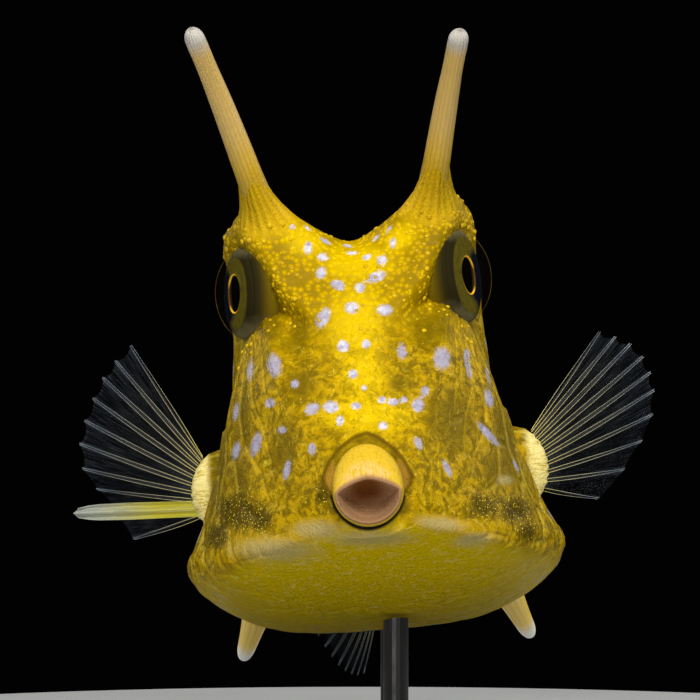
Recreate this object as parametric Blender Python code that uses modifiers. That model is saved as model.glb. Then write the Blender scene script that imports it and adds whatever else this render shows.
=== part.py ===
"""Young longhorn cowfish, still and life size, swimming nose up on a plain display stand.

Fish frame, used for every size below, in millimetres: the nose points along -Y, the
back along +Z, and +X is the fish's own left side. y is 0 at the lips, z is 0 at the
lowest line of the belly. The pose empty at the end tips the whole fish on its stand.
"""

import math

import bmesh
import bpy
import numpy as np
from mathutils import Matrix, Vector

MM = 0.001
GAP = 0.3

# How the fish is held: nose up, left side up, nose a little to its right.
PITCH_UP = math.radians(9.5)
ROLL_LEFT_UP = math.radians(4.7)
YAW = math.radians(1.4)
PIVOT = Vector((0.0, 45.0, 20.0))
PIVOT_HEIGHT = 45.0

# The bony box, as lines along the body: (y, value) knots of a smooth curve.
COLLAR_Y = 4.6
CARAPACE_END_Y = 85.0
HEAD_END_Y = 27.0
BACK_Z = ((4.6, 13.8), (6.0, 16.0), (12.0, 27.0), (17.0, 36.6), (20.0, 38.6), (26.0, 40.2),
          (34.0, 41.6), (44.0, 42.6), (56.0, 41.4), (68.0, 37.4), (78.0, 31.0), (85.0, 25.4))
BELLY_Z = ((4.6, 5.4), (8.0, 5.0), (12.0, 4.0), (20.0, 1.9), (30.0, 0.2), (40.0, -0.5),
           (52.0, -0.2), (62.0, 1.0), (72.0, 3.2), (80.0, 7.0), (85.0, 11.6))
RIDGE_X = ((4.6, 3.2), (8.0, 6.2), (12.0, 9.4), (16.0, 12.0), (19.0, 13.3), (24.0, 13.4),
           (34.0, 14.0), (44.0, 14.2), (56.0, 13.2), (68.0, 10.8), (78.0, 7.4), (85.0, 4.4))
RIDGE_Z = ((4.6, 12.6), (8.0, 18.0), (12.0, 26.5), (15.0, 34.8), (17.0, 40.0), (19.0, 42.0),
           (24.0, 41.2), (32.0, 38.0), (44.0, 37.0), (56.0, 35.8), (68.0, 32.0), (78.0, 26.8),
           (85.0, 23.4))
KEEL_X = ((4.6, 3.4), (8.0, 7.8), (12.0, 12.2), (16.0, 15.4), (20.0, 17.5), (26.0, 19.4),
          (34.0, 21.0), (42.0, 21.7), (52.0, 21.5), (62.0, 20.4), (72.0, 18.2), (79.0, 15.0),
          (85.0, 6.2))
KEEL_Z = ((4.6, 6.6), (8.0, 5.8), (12.0, 5.2), (20.0, 5.0), (32.0, 6.2), (44.0, 6.8),
          (56.0, 6.4), (68.0, 6.2), (79.0, 7.8), (85.0, 13.2))
FLANK_SAG = ((4.6, -1.2), (8.0, -0.6), (12.0, 0.2), (20.0, 1.3), (34.0, 2.5), (56.0, 2.1),
             (72.0, 1.2), (85.0, -0.6))

# Plates run round the box in columns; half of them, from back to belly, is ten.
COLUMNS = 20
RIDGE_COLUMN = 2.0
KEEL_COLUMN = 7.0
BELLY_COLUMN = 10.0
CORNER_ROUNDING = 0.24
CORNER_SHIFTS = (-1.0, -0.5, 0.0, 0.5, 1.0)
NORMAL_STEP = 0.25
SADDLE_POWER = 1.1
BELLY_POWER = 3.6

# Hexagonal plates of the trunk.
COLUMN_WIDTH = 6.8
PLATE_ROW_STEP = 5.95
PLATE_FIRST_Y = 23.8
PLATE_ROWS = 10
PLATE_BEVEL = 0.55
PLATE_RISE = 0.35
PLATE_DOME = 0.25
GROOVE_DEPTH = 0.3
REAR_RIM_Z = 19.0
REAR_RIM_SHRINK = 0.82
TORSO_SPARE = 2.0

# Eyes, horns and mouth.
EYE_CENTRE = Vector((10.1, 21.2, 34.5))
EYE_RADII = Vector((4.9, 5.5, 5.7))
HORN_BASE = Vector((9.5, 16.2, 44.2))
HORN_TIPS = {"left": Vector((13.2, -1.0, 56.0)), "right": Vector((-14.4, -1.0, 58.5))}
HORN_RADII = (1.50, 1.42, 1.38, 1.32, 1.26, 1.20, 1.13, 1.06, 1.02, 0.88, 0.42)
HORN_BOW = 0.7
HORN_POINT_PACKING = 0.92
HORN_ROOT_HEIGHT = 6.2
HORN_ROOT_SPREAD = 3.1
HORN_ROOT_REACH = 12.0
HORN_ROOT_LOWEST = 20.0
HORN_SEAT_PROFILE = ((0.0, 0.0), (4.0, 0.0), (4.0, 6.0), (0.0, 6.0))
ORBIT_CENTRE = Vector((16.0, 13.0, 31.0))
ORBIT_RADII = Vector((6.6, 6.0, 8.0))
MOUTH_SIDES = 20
MOUTH_RINGS = ((4.3, 10.1, 3.7, 4.4), (2.6, 9.8, 3.65, 4.0), (1.2, 9.2, 3.5, 3.4), (0.3, 8.8, 3.35, 2.9),
               (0.0, 8.7, 3.1, 2.55), (0.25, 8.7, 2.8, 2.2), (1.2, 8.7, 2.25, 1.7),
               (2.8, 8.9, 1.2, 0.9))
NOSTRIL_PLACE = (12.6, 2.5)
NOSTRIL_RADIUS = 0.5

# Stations and columns of the head's surface, closest together at the horns and eyes.
HEAD_STATIONS = (4.6, 6.0, 8.0, 10.0, 12.0, 13.5, 15.0, 16.0, 17.0, 18.0, 19.0, 20.0, 21.0, 22.4,
                 24.4, 26.85)
HEAD_HALF_COLUMNS = (0.0, 0.5, 0.9, 1.15, 1.35, 1.55, 1.75, 1.95, 2.15, 2.45, 2.9, 3.4, 4.0, 4.7,
                     5.5, 6.3, 6.8, 7.2, 7.8, 8.6, 10.0)

# Gill slit, just before the pectoral fin: ends and middle of its arc on the flank.
GILL_ARC = ((31.0, 4.75), (29.9, 5.5), (31.2, 6.3))
GILL_RADIUS = 0.45
GILL_POINTS = 7
GILL_LIFT = 0.1

# Tail, fins and spines.
BACK_FIN_RAYS = 9
BACK_FIN_DROOP = math.radians(8.0)
DORSAL_ROOT = (Vector((0.0, 69.0, 33.0)), Vector((0.0, 78.0, 27.5)))
DORSAL_LEAN = (30.0, 82.0)
DORSAL_LENGTH = 17.0
DORSAL_SIDEWAYS = (0.0, 0.0)
ANAL_ROOT = (Vector((0.0, 76.0, 8.5)), Vector((0.0, 82.5, 13.0)))
ANAL_LEAN = (137.0, 128.0)
ANAL_LENGTH = 16.0
ANAL_SIDEWAYS = (-3.1, -9.5)
TAIL_PATH = (Vector((0.0, 85.4, 19.0)), Vector((-0.2, 89.0, 19.4)), Vector((-2.0, 92.8, 19.8)),
             Vector((-5.4, 95.8, 20.1)), Vector((-9.6, 97.2, 20.4)))
TAIL_HALF_DEPTH = (4.9, 3.9, 3.0, 2.4, 2.1)
TAIL_HALF_WIDTH = (3.4, 2.8, 2.1, 1.7, 1.4)
TAIL_SIDES = 16
CAUDAL_LENGTH = 29.8
CAUDAL_RAYS = 5
CAUDAL_RAY_THICKNESS = 0.95
CAUDAL_SCALLOP = 0.02
CAUDAL_HALF_HEIGHTS = ((0.0, 1.9), (0.3, 1.2), (0.6, 1.05), (1.0, 1.2))
CAUDAL_BEND = ((0.0, 0.0), (0.5, 1.4), (1.0, 2.2))
CAUDAL_HEADING = Vector((-0.996, 0.0, 0.05))
CAUDAL_POINT = 0.6
PECTORAL_CENTRE = Vector((17.0, 34.0, 15.8))
PECTORAL_LOBE_RADII = Vector((2.9, 2.3, 4.9))
PECTORAL_RAYS = 10
PECTORAL_ANGLES = {"left": ((0.0, 56.9), (0.33, 39.7), (0.67, 19.1), (0.89, -3.4), (1.0, -24.9)),
                   "right": ((0.0, 64.3), (0.33, 42.9), (0.67, 15.9), (0.89, -3.2), (1.0, -22.6))}
PECTORAL_SPANS = {"left": ((0.0, 18.6), (0.33, 19.3), (0.67, 16.2), (0.89, 11.5), (1.0, 9.0)),
                  "right": ((0.0, 20.5), (0.33, 18.6), (0.67, 15.9), (0.89, 12.1), (1.0, 10.8))}
PECTORAL_SWEPT = 11.0
PECTORAL_ROOT = Vector((1.4, 0.6, 0.0))
PECTORAL_ROOT_HEIGHT = 6.4
PECTORAL_TIP_OUT = 0.6
PECTORAL_RIPPLE = 0.35
PECTORAL_BOW = 0.8
PECTORAL_SCALLOP = 0.09
REAR_SPINE_BASE = Vector((14.6, 76.5, 7.4))
REAR_SPINE_TIP = Vector((18.8, 98.0, 1.0))
REAR_SPINE_RADII = (2.5, 2.2, 1.95, 1.75, 1.6, 1.45, 1.32, 1.2, 1.05, 0.6)
RAY_THICKNESS = 0.95
MEMBRANE_THICKNESS = 0.55
TIP_THICKNESS = 0.5

# Stand.
BASE_SIZE = Vector((64.0, 92.0, 8.0))
BASE_ROUNDING = 1.6
ROD_RADIUS = 1.4
ROD_X = 3.0
ROD_PLACES = {"front": -14.0, "back": 16.0}


def clear_scene():
    for item in list(bpy.data.objects):
        bpy.data.objects.remove(item, do_unlink=True)


def material(name, colour, roughness, metallic=0.0):
    result = bpy.data.materials.new(name)
    result.use_nodes = True
    shader = result.node_tree.nodes["Principled BSDF"]
    shader.inputs["Base Color"].default_value = (*colour, 1.0)
    shader.inputs["Roughness"].default_value = roughness
    shader.inputs["Metallic"].default_value = metallic
    result.diffuse_color = (*colour, 1.0)
    return result


def smooth_line(knots):
    """A smooth curve through (y, value) knots, straight slopes taken from the neighbours."""
    places = np.array([knot[0] for knot in knots])
    values = np.array([knot[1] for knot in knots])
    slopes = np.gradient(values, places)

    def value_at(y):
        index = int(np.clip(np.searchsorted(places, y) - 1, 0, len(places) - 2))
        step = places[index + 1] - places[index]
        u = float(np.clip((y - places[index]) / step, 0.0, 1.0))
        start = (1 + 2 * u) * (1 - u) ** 2 * values[index] + u * (1 - u) ** 2 * step * slopes[index]
        end = u * u * (3 - 2 * u) * values[index + 1] + u * u * (u - 1) * step * slopes[index + 1]
        return float(start + end)

    return value_at


back_z = smooth_line(BACK_Z)
belly_z = smooth_line(BELLY_Z)
ridge_x = smooth_line(RIDGE_X)
ridge_z = smooth_line(RIDGE_Z)
keel_x = smooth_line(KEEL_X)
keel_z = smooth_line(KEEL_Z)
flank_sag = smooth_line(FLANK_SAG)


def sharp_section(y, column):
    """One point of the five-ridged section at y; column 0 is the back, 10 the belly."""
    column = column % COLUMNS
    side = 1.0
    if column > BELLY_COLUMN:
        column = COLUMNS - column
        side = -1.0
    if column <= RIDGE_COLUMN:
        part = column / RIDGE_COLUMN
        x = ridge_x(y) * part
        z = back_z(y) + (ridge_z(y) - back_z(y)) * part ** SADDLE_POWER
    elif column <= KEEL_COLUMN:
        part = (column - RIDGE_COLUMN) / (KEEL_COLUMN - RIDGE_COLUMN)
        x = ridge_x(y) + (keel_x(y) - ridge_x(y)) * part - flank_sag(y) * 4 * part * (1 - part)
        z = ridge_z(y) + (keel_z(y) - ridge_z(y)) * part
    else:
        part = (BELLY_COLUMN - column) / (BELLY_COLUMN - KEEL_COLUMN)
        x = keel_x(y) * part
        z = belly_z(y) + (keel_z(y) - belly_z(y)) * part ** BELLY_POWER
    return Vector((side * x, y, z))


def carapace_point(y, column):
    """The section with its corners rounded by averaging a short way along it."""
    total = Vector((0.0, 0.0, 0.0))
    for shift in CORNER_SHIFTS:
        total += sharp_section(y, column + shift * CORNER_ROUNDING)
    return total / len(CORNER_SHIFTS)


def carapace_normal(y, column):
    along = carapace_point(y + NORMAL_STEP, column) - carapace_point(y - NORMAL_STEP, column)
    around = carapace_point(y, column + NORMAL_STEP) - carapace_point(y, column - NORMAL_STEP)
    return around.cross(along).normalized()


def carapace_offset(y, column, height):
    """A point height above the box's surface."""
    return carapace_point(y, column) + carapace_normal(y, column) * height


def object_from(bm, name, finish, smooth_angle=40.0):
    """Turn a bmesh in millimetres into an object in metres."""
    bmesh.ops.recalc_face_normals(bm, faces=bm.faces[:])
    bmesh.ops.scale(bm, vec=(MM, MM, MM), verts=bm.verts[:])
    mesh = bpy.data.meshes.new(name)
    bm.to_mesh(mesh)
    bm.free()
    mesh.materials.append(finish)
    mesh.shade_smooth()
    mesh.set_sharp_from_angle(angle=math.radians(smooth_angle))
    result = bpy.data.objects.new(name, mesh)
    fish_parts.objects.link(result)
    return result


def loft(rings):
    """Join rings of equal count with faces and close both ends."""
    bm = bmesh.new()
    loops = []
    for ring in rings:
        loops.append([bm.verts.new(point) for point in ring])
    for near, far in zip(loops, loops[1:]):
        for index in range(len(near)):
            after = (index + 1) % len(near)
            bm.faces.new((near[index], near[after], far[after], far[index]))
    bm.faces.new(loops[0])
    bm.faces.new(loops[-1])
    return bm


def bake(item):
    """Replace an object's mesh by the one its modifiers give."""
    bpy.context.view_layer.update()
    graph = bpy.context.evaluated_depsgraph_get()
    mesh = bpy.data.meshes.new_from_object(item.evaluated_get(graph))
    item.modifiers.clear()
    item.data = mesh


def keep_largest(item):
    """Drop loose scraps and sealed hollows: only the largest closed surface stays."""
    bm = bmesh.new()
    bm.from_mesh(item.data)
    bmesh.ops.remove_doubles(bm, verts=bm.verts[:], dist=0.001 * MM)
    bmesh.ops.dissolve_degenerate(bm, edges=bm.edges[:], dist=0.0005 * MM)
    bm.faces.ensure_lookup_table()
    seen = set()
    groups = []
    for face in bm.faces:
        if face.index in seen:
            continue
        group = []
        waiting = [face]
        seen.add(face.index)
        while waiting:
            current = waiting.pop()
            group.append(current)
            for edge in current.edges:
                for other in edge.link_faces:
                    if other.index not in seen:
                        seen.add(other.index)
                        waiting.append(other)
        groups.append(group)
    largest = max(groups, key=lambda group: sum(face.calc_area() for face in group))
    kept = set(largest)
    bmesh.ops.delete(bm, geom=[face for face in bm.faces if face not in kept], context="FACES")
    loose = [vert for vert in bm.verts if not vert.link_faces]
    bmesh.ops.delete(bm, geom=loose, context="VERTS")
    bm.to_mesh(item.data)
    bm.free()


def combine(item, tools, operation, solver="EXACT", keep_tools=False):
    """One Boolean of an object with a collection of tool objects, applied at once."""
    bench = bpy.data.collections.new("tools")
    bpy.context.scene.collection.children.link(bench)
    for tool in tools:
        bench.objects.link(tool)
    modifier = item.modifiers.new("combine", "BOOLEAN")
    modifier.operand_type = "COLLECTION"
    modifier.collection = bench
    modifier.operation = operation
    modifier.solver = solver
    bake(item)
    keep_largest(item)
    for tool in tools:
        bench.objects.unlink(tool)
        if not keep_tools:
            bpy.data.objects.remove(tool, do_unlink=True)
    bpy.data.collections.remove(bench)


def slice_off(item, point, normal):
    """Cut an object by a plane, drop what lies on the normal's side and close the cut."""
    bm = bmesh.new()
    bm.from_mesh(item.data)
    geometry = bm.verts[:] + bm.edges[:] + bm.faces[:]
    cut = bmesh.ops.bisect_plane(bm, geom=geometry, dist=1e-7, plane_co=Vector(point) * MM,
                                 plane_no=normal, clear_outer=True)
    rim = [edge for edge in cut["geom_cut"] if isinstance(edge, bmesh.types.BMEdge)]
    bmesh.ops.edgeloop_fill(bm, edges=rim)
    bmesh.ops.recalc_face_normals(bm, faces=bm.faces[:])
    bm.to_mesh(item.data)
    bm.free()


def ellipsoid(name, centre, radii, finish, segments, rings):
    bm = bmesh.new()
    bmesh.ops.create_uvsphere(bm, u_segments=segments, v_segments=rings, radius=1.0)
    bmesh.ops.rotate(bm, verts=bm.verts[:], matrix=Matrix.Rotation(math.pi / 2, 3, "Y"))
    bmesh.ops.scale(bm, vec=radii, verts=bm.verts[:])
    bmesh.ops.translate(bm, vec=centre, verts=bm.verts[:])
    return object_from(bm, name, finish, 60.0)


def tapered_tube(name, points, radii, finish, resolution=3):
    """A curve with a round bevel whose radius follows the list, made a closed mesh."""
    curve = bpy.data.curves.new(name, "CURVE")
    curve.dimensions = "3D"
    curve.bevel_depth = MM
    curve.bevel_resolution = resolution
    curve.use_fill_caps = True
    spline = curve.splines.new("POLY")
    spline.points.add(len(points) - 1)
    for knot, point, radius in zip(spline.points, points, radii):
        knot.co = (*(point * MM), 1.0)
        knot.radius = radius
    holder = bpy.data.objects.new(name + "_path", curve)
    fish_parts.objects.link(holder)
    bpy.context.view_layer.update()
    graph = bpy.context.evaluated_depsgraph_get()
    mesh = bpy.data.meshes.new_from_object(holder.evaluated_get(graph))
    bpy.data.objects.remove(holder, do_unlink=True)
    bm = bmesh.new()
    bm.from_mesh(mesh)
    bmesh.ops.remove_doubles(bm, verts=bm.verts[:], dist=0.01 * MM)
    bmesh.ops.scale(bm, vec=(1 / MM, 1 / MM, 1 / MM), verts=bm.verts[:])
    return object_from(bm, name, finish)


def turned(name, profile, origin, direction, finish, steps=20):
    """A turned piece: a profile of (radius, height) swept by a Screw modifier."""
    mesh = bpy.data.meshes.new(name)
    points = [(radius * MM, 0.0, height * MM) for radius, height in reversed(profile)]
    edges = [(index, index + 1) for index in range(len(points) - 1)]
    mesh.from_pydata(points, edges, [])
    mesh.materials.append(finish)
    item = bpy.data.objects.new(name, mesh)
    fish_parts.objects.link(item)
    screw = item.modifiers.new("turn", "SCREW")
    screw.steps = steps
    screw.render_steps = steps
    screw.use_merge_vertices = True
    screw.merge_threshold = 0.00001
    bake(item)
    turn = Vector((0.0, 0.0, 1.0)).rotation_difference(direction).to_matrix().to_4x4()
    item.data.transform(Matrix.Translation(origin * MM) @ turn)
    return item


def ridged_fin(name, place, ray_count, row_count, finish, ray_thickness=RAY_THICKNESS,
               scallop=0.07):
    """A fin as one closed sheet: rays stand as ridges on both faces of the membrane.

    place(u, v) is the middle surface, u across the rays from 0 to 1, v from root to tip.
    Both faces share one grid and one way of splitting it into triangles.
    """
    per_gap = 3
    across = (ray_count - 1) * per_gap + 1
    middle = [[None] * row_count for _ in range(across)]
    for i in range(across):
        u = i / (across - 1)
        reach = 1.0 if i % per_gap == 0 else 1.0 - scallop
        for j in range(row_count):
            middle[i][j] = place(u, reach * j / (row_count - 1))
    bm = bmesh.new()
    front = [[None] * row_count for _ in range(across)]
    rear = [[None] * row_count for _ in range(across)]
    for i in range(across):
        for j in range(row_count):
            span = middle[min(i + 1, across - 1)][j] - middle[max(i - 1, 0)][j]
            run = middle[i][min(j + 1, row_count - 1)] - middle[i][max(j - 1, 0)]
            normal = span.cross(run).normalized()
            on_ray = i % per_gap == 0
            root_thickness = ray_thickness if on_ray else MEMBRANE_THICKNESS
            far = j / (row_count - 1)
            half = 0.5 * (root_thickness + (TIP_THICKNESS - root_thickness) * far ** 2)
            front[i][j] = bm.verts.new(middle[i][j] + normal * half)
            rear[i][j] = bm.verts.new(middle[i][j] - normal * half)
    for i in range(across - 1):
        for j in range(row_count - 1):
            for face, flip in ((front, False), (rear, True)):
                a = face[i][j]
                b = face[i + 1][j]
                c = face[i + 1][j + 1]
                d = face[i][j + 1]
                for corners in ((a, b, c), (a, c, d)):
                    bm.faces.new(corners[::-1] if flip else corners)
    rim = [(i, 0) for i in range(across)]
    rim += [(across - 1, j) for j in range(1, row_count)]
    rim += [(i, row_count - 1) for i in range(across - 2, -1, -1)]
    rim += [(0, j) for j in range(row_count - 2, 0, -1)]
    for (i, j), (k, m) in zip(rim, rim[1:] + rim[:1]):
        bm.faces.new((front[i][j], rear[i][j], rear[k][m], front[k][m]))
    return object_from(bm, name, finish, 50.0)


def side_sign(side):
    return 1.0 if side == "left" else -1.0


def to_side(vector, side):
    return Vector((vector.x * side_sign(side), vector.y, vector.z))


def carapace_shell(name, start_y, end_y, inflate, finish, stations, per_column=2):
    """A smooth loft of the box between two sections, raised everywhere by inflate."""
    rings = []
    for station in range(stations):
        y = start_y + (end_y - start_y) * station / (stations - 1)
        ring = []
        for step in range(COLUMNS * per_column):
            ring.append(carapace_offset(y, step / per_column, inflate))
        rings.append(ring)
    for ring, flat_y in ((rings[0], start_y), (rings[-1], end_y)):
        for point in ring:
            point.y = flat_y
    return object_from(loft(rings), name, finish)


def horn_axis(side):
    base = to_side(HORN_BASE, side)
    return base, (HORN_TIPS[side] - base).normalized()


def pulled_to_horn(point):
    """The brow drawn up and forward into the root of each horn, like a soft cone."""
    for side in HORN_TIPS:
        base, direction = horn_axis(side)
        distance = (point - base).cross(direction).length
        if (point - base).dot(direction) > -HORN_ROOT_REACH and point.z > HORN_ROOT_LOWEST:
            rise = HORN_ROOT_HEIGHT * math.exp(-(distance / HORN_ROOT_SPREAD) ** 2)
            point = point + direction * rise
    return point


def make_head(finish):
    """Face and brow in one piece, with sockets for the eyes and raised horn roots."""
    half = list(HEAD_HALF_COLUMNS)
    columns = half + [COLUMNS - column for column in reversed(half[1:-1])]
    rings = []
    for y in HEAD_STATIONS:
        ring = []
        for column in columns:
            point = pulled_to_horn(carapace_point(y, column))
            if y in (HEAD_STATIONS[0], HEAD_STATIONS[-1]):
                point.y = y
            ring.append(point)
        rings.append(ring)
    head = object_from(loft(rings), "head", finish)
    cuts = []
    for side in HORN_TIPS:
        base, direction = horn_axis(side)
        cuts.append(turned("horn_seat_" + side, HORN_SEAT_PROFILE, base, direction, finish, 12))
        cuts.append(ellipsoid("orbit_" + side, to_side(ORBIT_CENTRE, side), ORBIT_RADII, finish, 24, 14))
        room = EYE_RADII + Vector((GAP, GAP, GAP))
        cuts.append(ellipsoid("socket_" + side, to_side(EYE_CENTRE, side), room, finish, 20, 12))
        place = carapace_point(*NOSTRIL_PLACE)
        radii = Vector((1.0, 1.0, 1.0)) * NOSTRIL_RADIUS
        cuts.append(ellipsoid("nostril_" + side, to_side(place, side), radii, finish, 8, 6))
    combine(head, cuts, "DIFFERENCE")
    return head


def make_eye(side, finish):
    return ellipsoid("eye_" + side, to_side(EYE_CENTRE, side), EYE_RADII, finish, 20, 12)


def make_horn(side, finish):
    """A slender blunt horn that bows slightly forward and ends in a small round knob."""
    base, direction = horn_axis(side)
    start = base + direction * GAP
    bow = direction.cross(Vector((1.0, 0.0, 0.0))).normalized()
    points = []
    for index in range(len(HORN_RADII)):
        far = index / (len(HORN_RADII) - 1)
        run = start.lerp(HORN_TIPS[side], far ** HORN_POINT_PACKING)
        points.append(run + bow * HORN_BOW * math.sin(math.pi * far))
    return tapered_tube("horn_" + side, points, HORN_RADII, finish)


def make_mouth(finish):
    """The short fleshy snout, bent slightly down, with thick lips round a blind mouth.

    Each ring is (y, height of its centre, half width, half height); the last four are inside.
    """
    rings = []
    for y, centre_z, half_width, half_height in MOUTH_RINGS:
        ring = []
        for step in range(MOUTH_SIDES):
            angle = 2 * math.pi * step / MOUTH_SIDES
            ring.append(Vector((half_width * math.sin(angle), y,
                                centre_z + half_height * math.cos(angle))))
        rings.append(ring)
    return object_from(loft(rings), "mouth", finish)


def plate_sheet():
    """The trunk's plates laid out flat, each hexagon bevelled, raised and domed."""
    sheet = bmesh.new()
    for row in range(PLATE_ROWS):
        y = PLATE_FIRST_Y + (row + 0.5) * PLATE_ROW_STEP
        for column in range(COLUMNS):
            x = (column + 0.5 * (row % 2)) * COLUMN_WIDTH
            half = 0.5 * COLUMN_WIDTH
            long = PLATE_ROW_STEP * 2 / 3
            short = PLATE_ROW_STEP / 3
            outline = ((-half, -short), (0.0, -long), (half, -short), (half, short), (0.0, long),
                       (-half, short))
            sheet.faces.new([sheet.verts.new((x + dx, y + dy, 0.0)) for dx, dy in outline])
    sheet.normal_update()
    tops = sheet.faces[:]
    bmesh.ops.inset_individual(sheet, faces=tops, thickness=PLATE_BEVEL, depth=PLATE_RISE)
    bmesh.ops.poke(sheet, faces=tops, offset=PLATE_DOME, center_mode="MEAN")
    return sheet


def make_torso(finish):
    """The plated box behind the head: the flat sheet of plates wrapped on its sections."""
    sheet = plate_sheet()
    for vert in sheet.verts:
        vert.co = carapace_offset(vert.co.y, vert.co.x / COLUMN_WIDTH, vert.co.z - GROOVE_DEPTH)
    bmesh.ops.remove_doubles(sheet, verts=sheet.verts[:], dist=0.02)
    open_edges = [edge for edge in sheet.edges if edge.is_boundary]
    middle_y = PLATE_FIRST_Y + PLATE_ROWS * PLATE_ROW_STEP / 2
    for rear in (False, True):
        rim = [edge for edge in open_edges if (edge.verts[0].co.y > middle_y) == rear]
        grown = bmesh.ops.extrude_edge_only(sheet, edges=rim)
        ring = [item for item in grown["geom"] if isinstance(item, bmesh.types.BMVert)]
        for vert in ring:
            vert.co.y = CARAPACE_END_Y if rear else PLATE_FIRST_Y - TORSO_SPARE
            if rear:
                vert.co.x *= REAR_RIM_SHRINK
                vert.co.z = REAR_RIM_Z + (vert.co.z - REAR_RIM_Z) * REAR_RIM_SHRINK
        cap = [item for item in grown["geom"] if isinstance(item, bmesh.types.BMEdge)]
        bmesh.ops.edgeloop_fill(sheet, edges=cap)
    torso = object_from(sheet, "torso", finish, 30.0)
    slice_off(torso, (0.0, HEAD_END_Y + GAP / 2, 0.0), (0.0, -1.0, 0.0))
    slits = []
    for side in HORN_TIPS:
        knots = [carapace_offset(y, column, GILL_LIFT) for y, column in GILL_ARC]
        start, middle, end = (to_side(knot, side) for knot in knots)
        points = []
        radii = []
        for step in range(GILL_POINTS):
            far = step / (GILL_POINTS - 1)
            points.append(start * (1 - far) ** 2 + middle * 2 * far * (1 - far) + end * far ** 2)
            radii.append(GILL_RADIUS * (0.5 + math.sin(math.pi * far)))
        slits.append(tapered_tube("gill_" + side, points, radii, finish, 2))
    combine(torso, slits, "DIFFERENCE")
    return torso


def make_tail(finish):
    """The short stalk of the tail, bending to the fish's right."""
    rings = []
    last = len(TAIL_PATH) - 1
    for index, centre in enumerate(TAIL_PATH):
        heading = TAIL_PATH[min(index + 1, last)] - TAIL_PATH[max(index - 1, 0)]
        across = heading.cross(Vector((0.0, 0.0, 1.0))).normalized()
        ring = []
        for step in range(TAIL_SIDES):
            angle = 2 * math.pi * step / TAIL_SIDES
            offset = across * TAIL_HALF_WIDTH[index] * math.cos(angle)
            offset += Vector((0.0, 0.0, 1.0)) * TAIL_HALF_DEPTH[index] * math.sin(angle)
            ring.append(centre + offset)
        rings.append(ring)
    return object_from(loft(rings), "tail_peduncle", finish)


def make_caudal(finish):
    """The long tail fin, folded narrow like a closed fan and swept to the right."""
    root = TAIL_PATH[-1]
    heading = (TAIL_PATH[-1] - TAIL_PATH[-2]).normalized()
    start = root + heading * GAP
    half_heights = smooth_line(CAUDAL_HALF_HEIGHTS)
    bend = smooth_line(CAUDAL_BEND)

    def place(u, v):
        point = start + CAUDAL_HEADING * (v * CAUDAL_LENGTH)
        point.z += (0.5 - u) * 2 * half_heights(v)
        point.y += bend(v)
        point.x -= CAUDAL_POINT * (1 - abs(2 * u - 1)) * v
        return point

    return ridged_fin("caudal_fin", place, CAUDAL_RAYS, 8, finish, CAUDAL_RAY_THICKNESS,
                      CAUDAL_SCALLOP)


def make_back_fin(name, root, lean, length, sideways, clearance, finish):
    """The dorsal or the anal fin: a short rounded fan in or near the middle plane."""

    def place(u, v):
        start = root[0].lerp(root[1], u)
        angle = math.radians(lean[0] + (lean[1] - lean[0]) * u) + BACK_FIN_DROOP * v
        reach = length * (0.80 + 0.20 * math.sin(math.pi * min(1.0, u * 0.9 + 0.15)))
        direction = Vector((0.0, math.sin(angle), math.cos(angle)))
        aside = sideways[0] + (sideways[1] - sideways[0]) * u
        return start + direction * (v * reach) + Vector((aside * v ** 1.5, 0.0, 0.0))

    fin = ridged_fin(name, place, BACK_FIN_RAYS, 7, finish)
    combine(fin, [clearance], "DIFFERENCE", keep_tools=True)
    return fin


def make_pectoral_base(side, clearance, finish):
    """The fleshy lobe on the flank that carries the pectoral fin."""
    lobe = ellipsoid("pectoral_base_" + side, to_side(PECTORAL_CENTRE, side),
                     PECTORAL_LOBE_RADII, finish, 16, 10)
    combine(lobe, [clearance], "DIFFERENCE", keep_tools=True)
    return lobe


def make_pectoral(side, clearance, finish):
    """An open fan of ten rays, spread to the side and swept back."""
    sign = side_sign(side)
    centre = to_side(PECTORAL_CENTRE, side)
    angles = smooth_line(PECTORAL_ANGLES[side])
    spans = smooth_line(PECTORAL_SPANS[side])

    def place(u, v):
        tilt = math.radians(angles(u))
        root = centre + to_side(PECTORAL_ROOT, side)
        root.z += (0.5 - u) * PECTORAL_ROOT_HEIGHT
        reach = Vector((sign * math.cos(tilt), 0.0, math.sin(tilt))) * spans(u)
        tip = centre + Vector((sign * PECTORAL_TIP_OUT, 0.0, 0.0)) + reach
        tip.y += PECTORAL_SWEPT + PECTORAL_RIPPLE * math.cos(u * math.pi * 5)
        bow = PECTORAL_BOW * math.sin(math.pi * v)
        return root.lerp(tip, v) + Vector((0.0, bow, 0.0))

    fin = ridged_fin("pectoral_fin_" + side, place, PECTORAL_RAYS, 7, finish, RAY_THICKNESS,
                     PECTORAL_SCALLOP)
    room = PECTORAL_LOBE_RADII + Vector((GAP, GAP, GAP))
    cutter = ellipsoid("lobe_room_" + side, centre, room, finish, 16, 10)
    combine(fin, [cutter], "DIFFERENCE")
    combine(fin, [clearance], "DIFFERENCE", keep_tools=True)
    return fin


def make_rear_spine(side, clearance, finish):
    """The long blunt spine that carries on the keel behind the box."""
    base = to_side(REAR_SPINE_BASE, side)
    tip = to_side(REAR_SPINE_TIP, side)
    count = len(REAR_SPINE_RADII)
    points = [base.lerp(tip, index / (count - 1)) for index in range(count)]
    spine = tapered_tube("rear_spine_" + side, points, REAR_SPINE_RADII, finish, 2)
    combine(spine, [clearance], "DIFFERENCE", keep_tools=True)
    return spine


def fish_matrix():
    """Fish frame in metres to the stand's frame."""
    turn = Matrix.Rotation(-YAW, 4, "Z") @ Matrix.Rotation(-PITCH_UP, 4, "X")
    turn = turn @ Matrix.Rotation(-ROLL_LEFT_UP, 4, "Y")
    lift = Matrix.Translation((0.0, 0.0, PIVOT_HEIGHT * MM))
    return lift @ turn @ Matrix.Translation(-PIVOT * MM)


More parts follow.
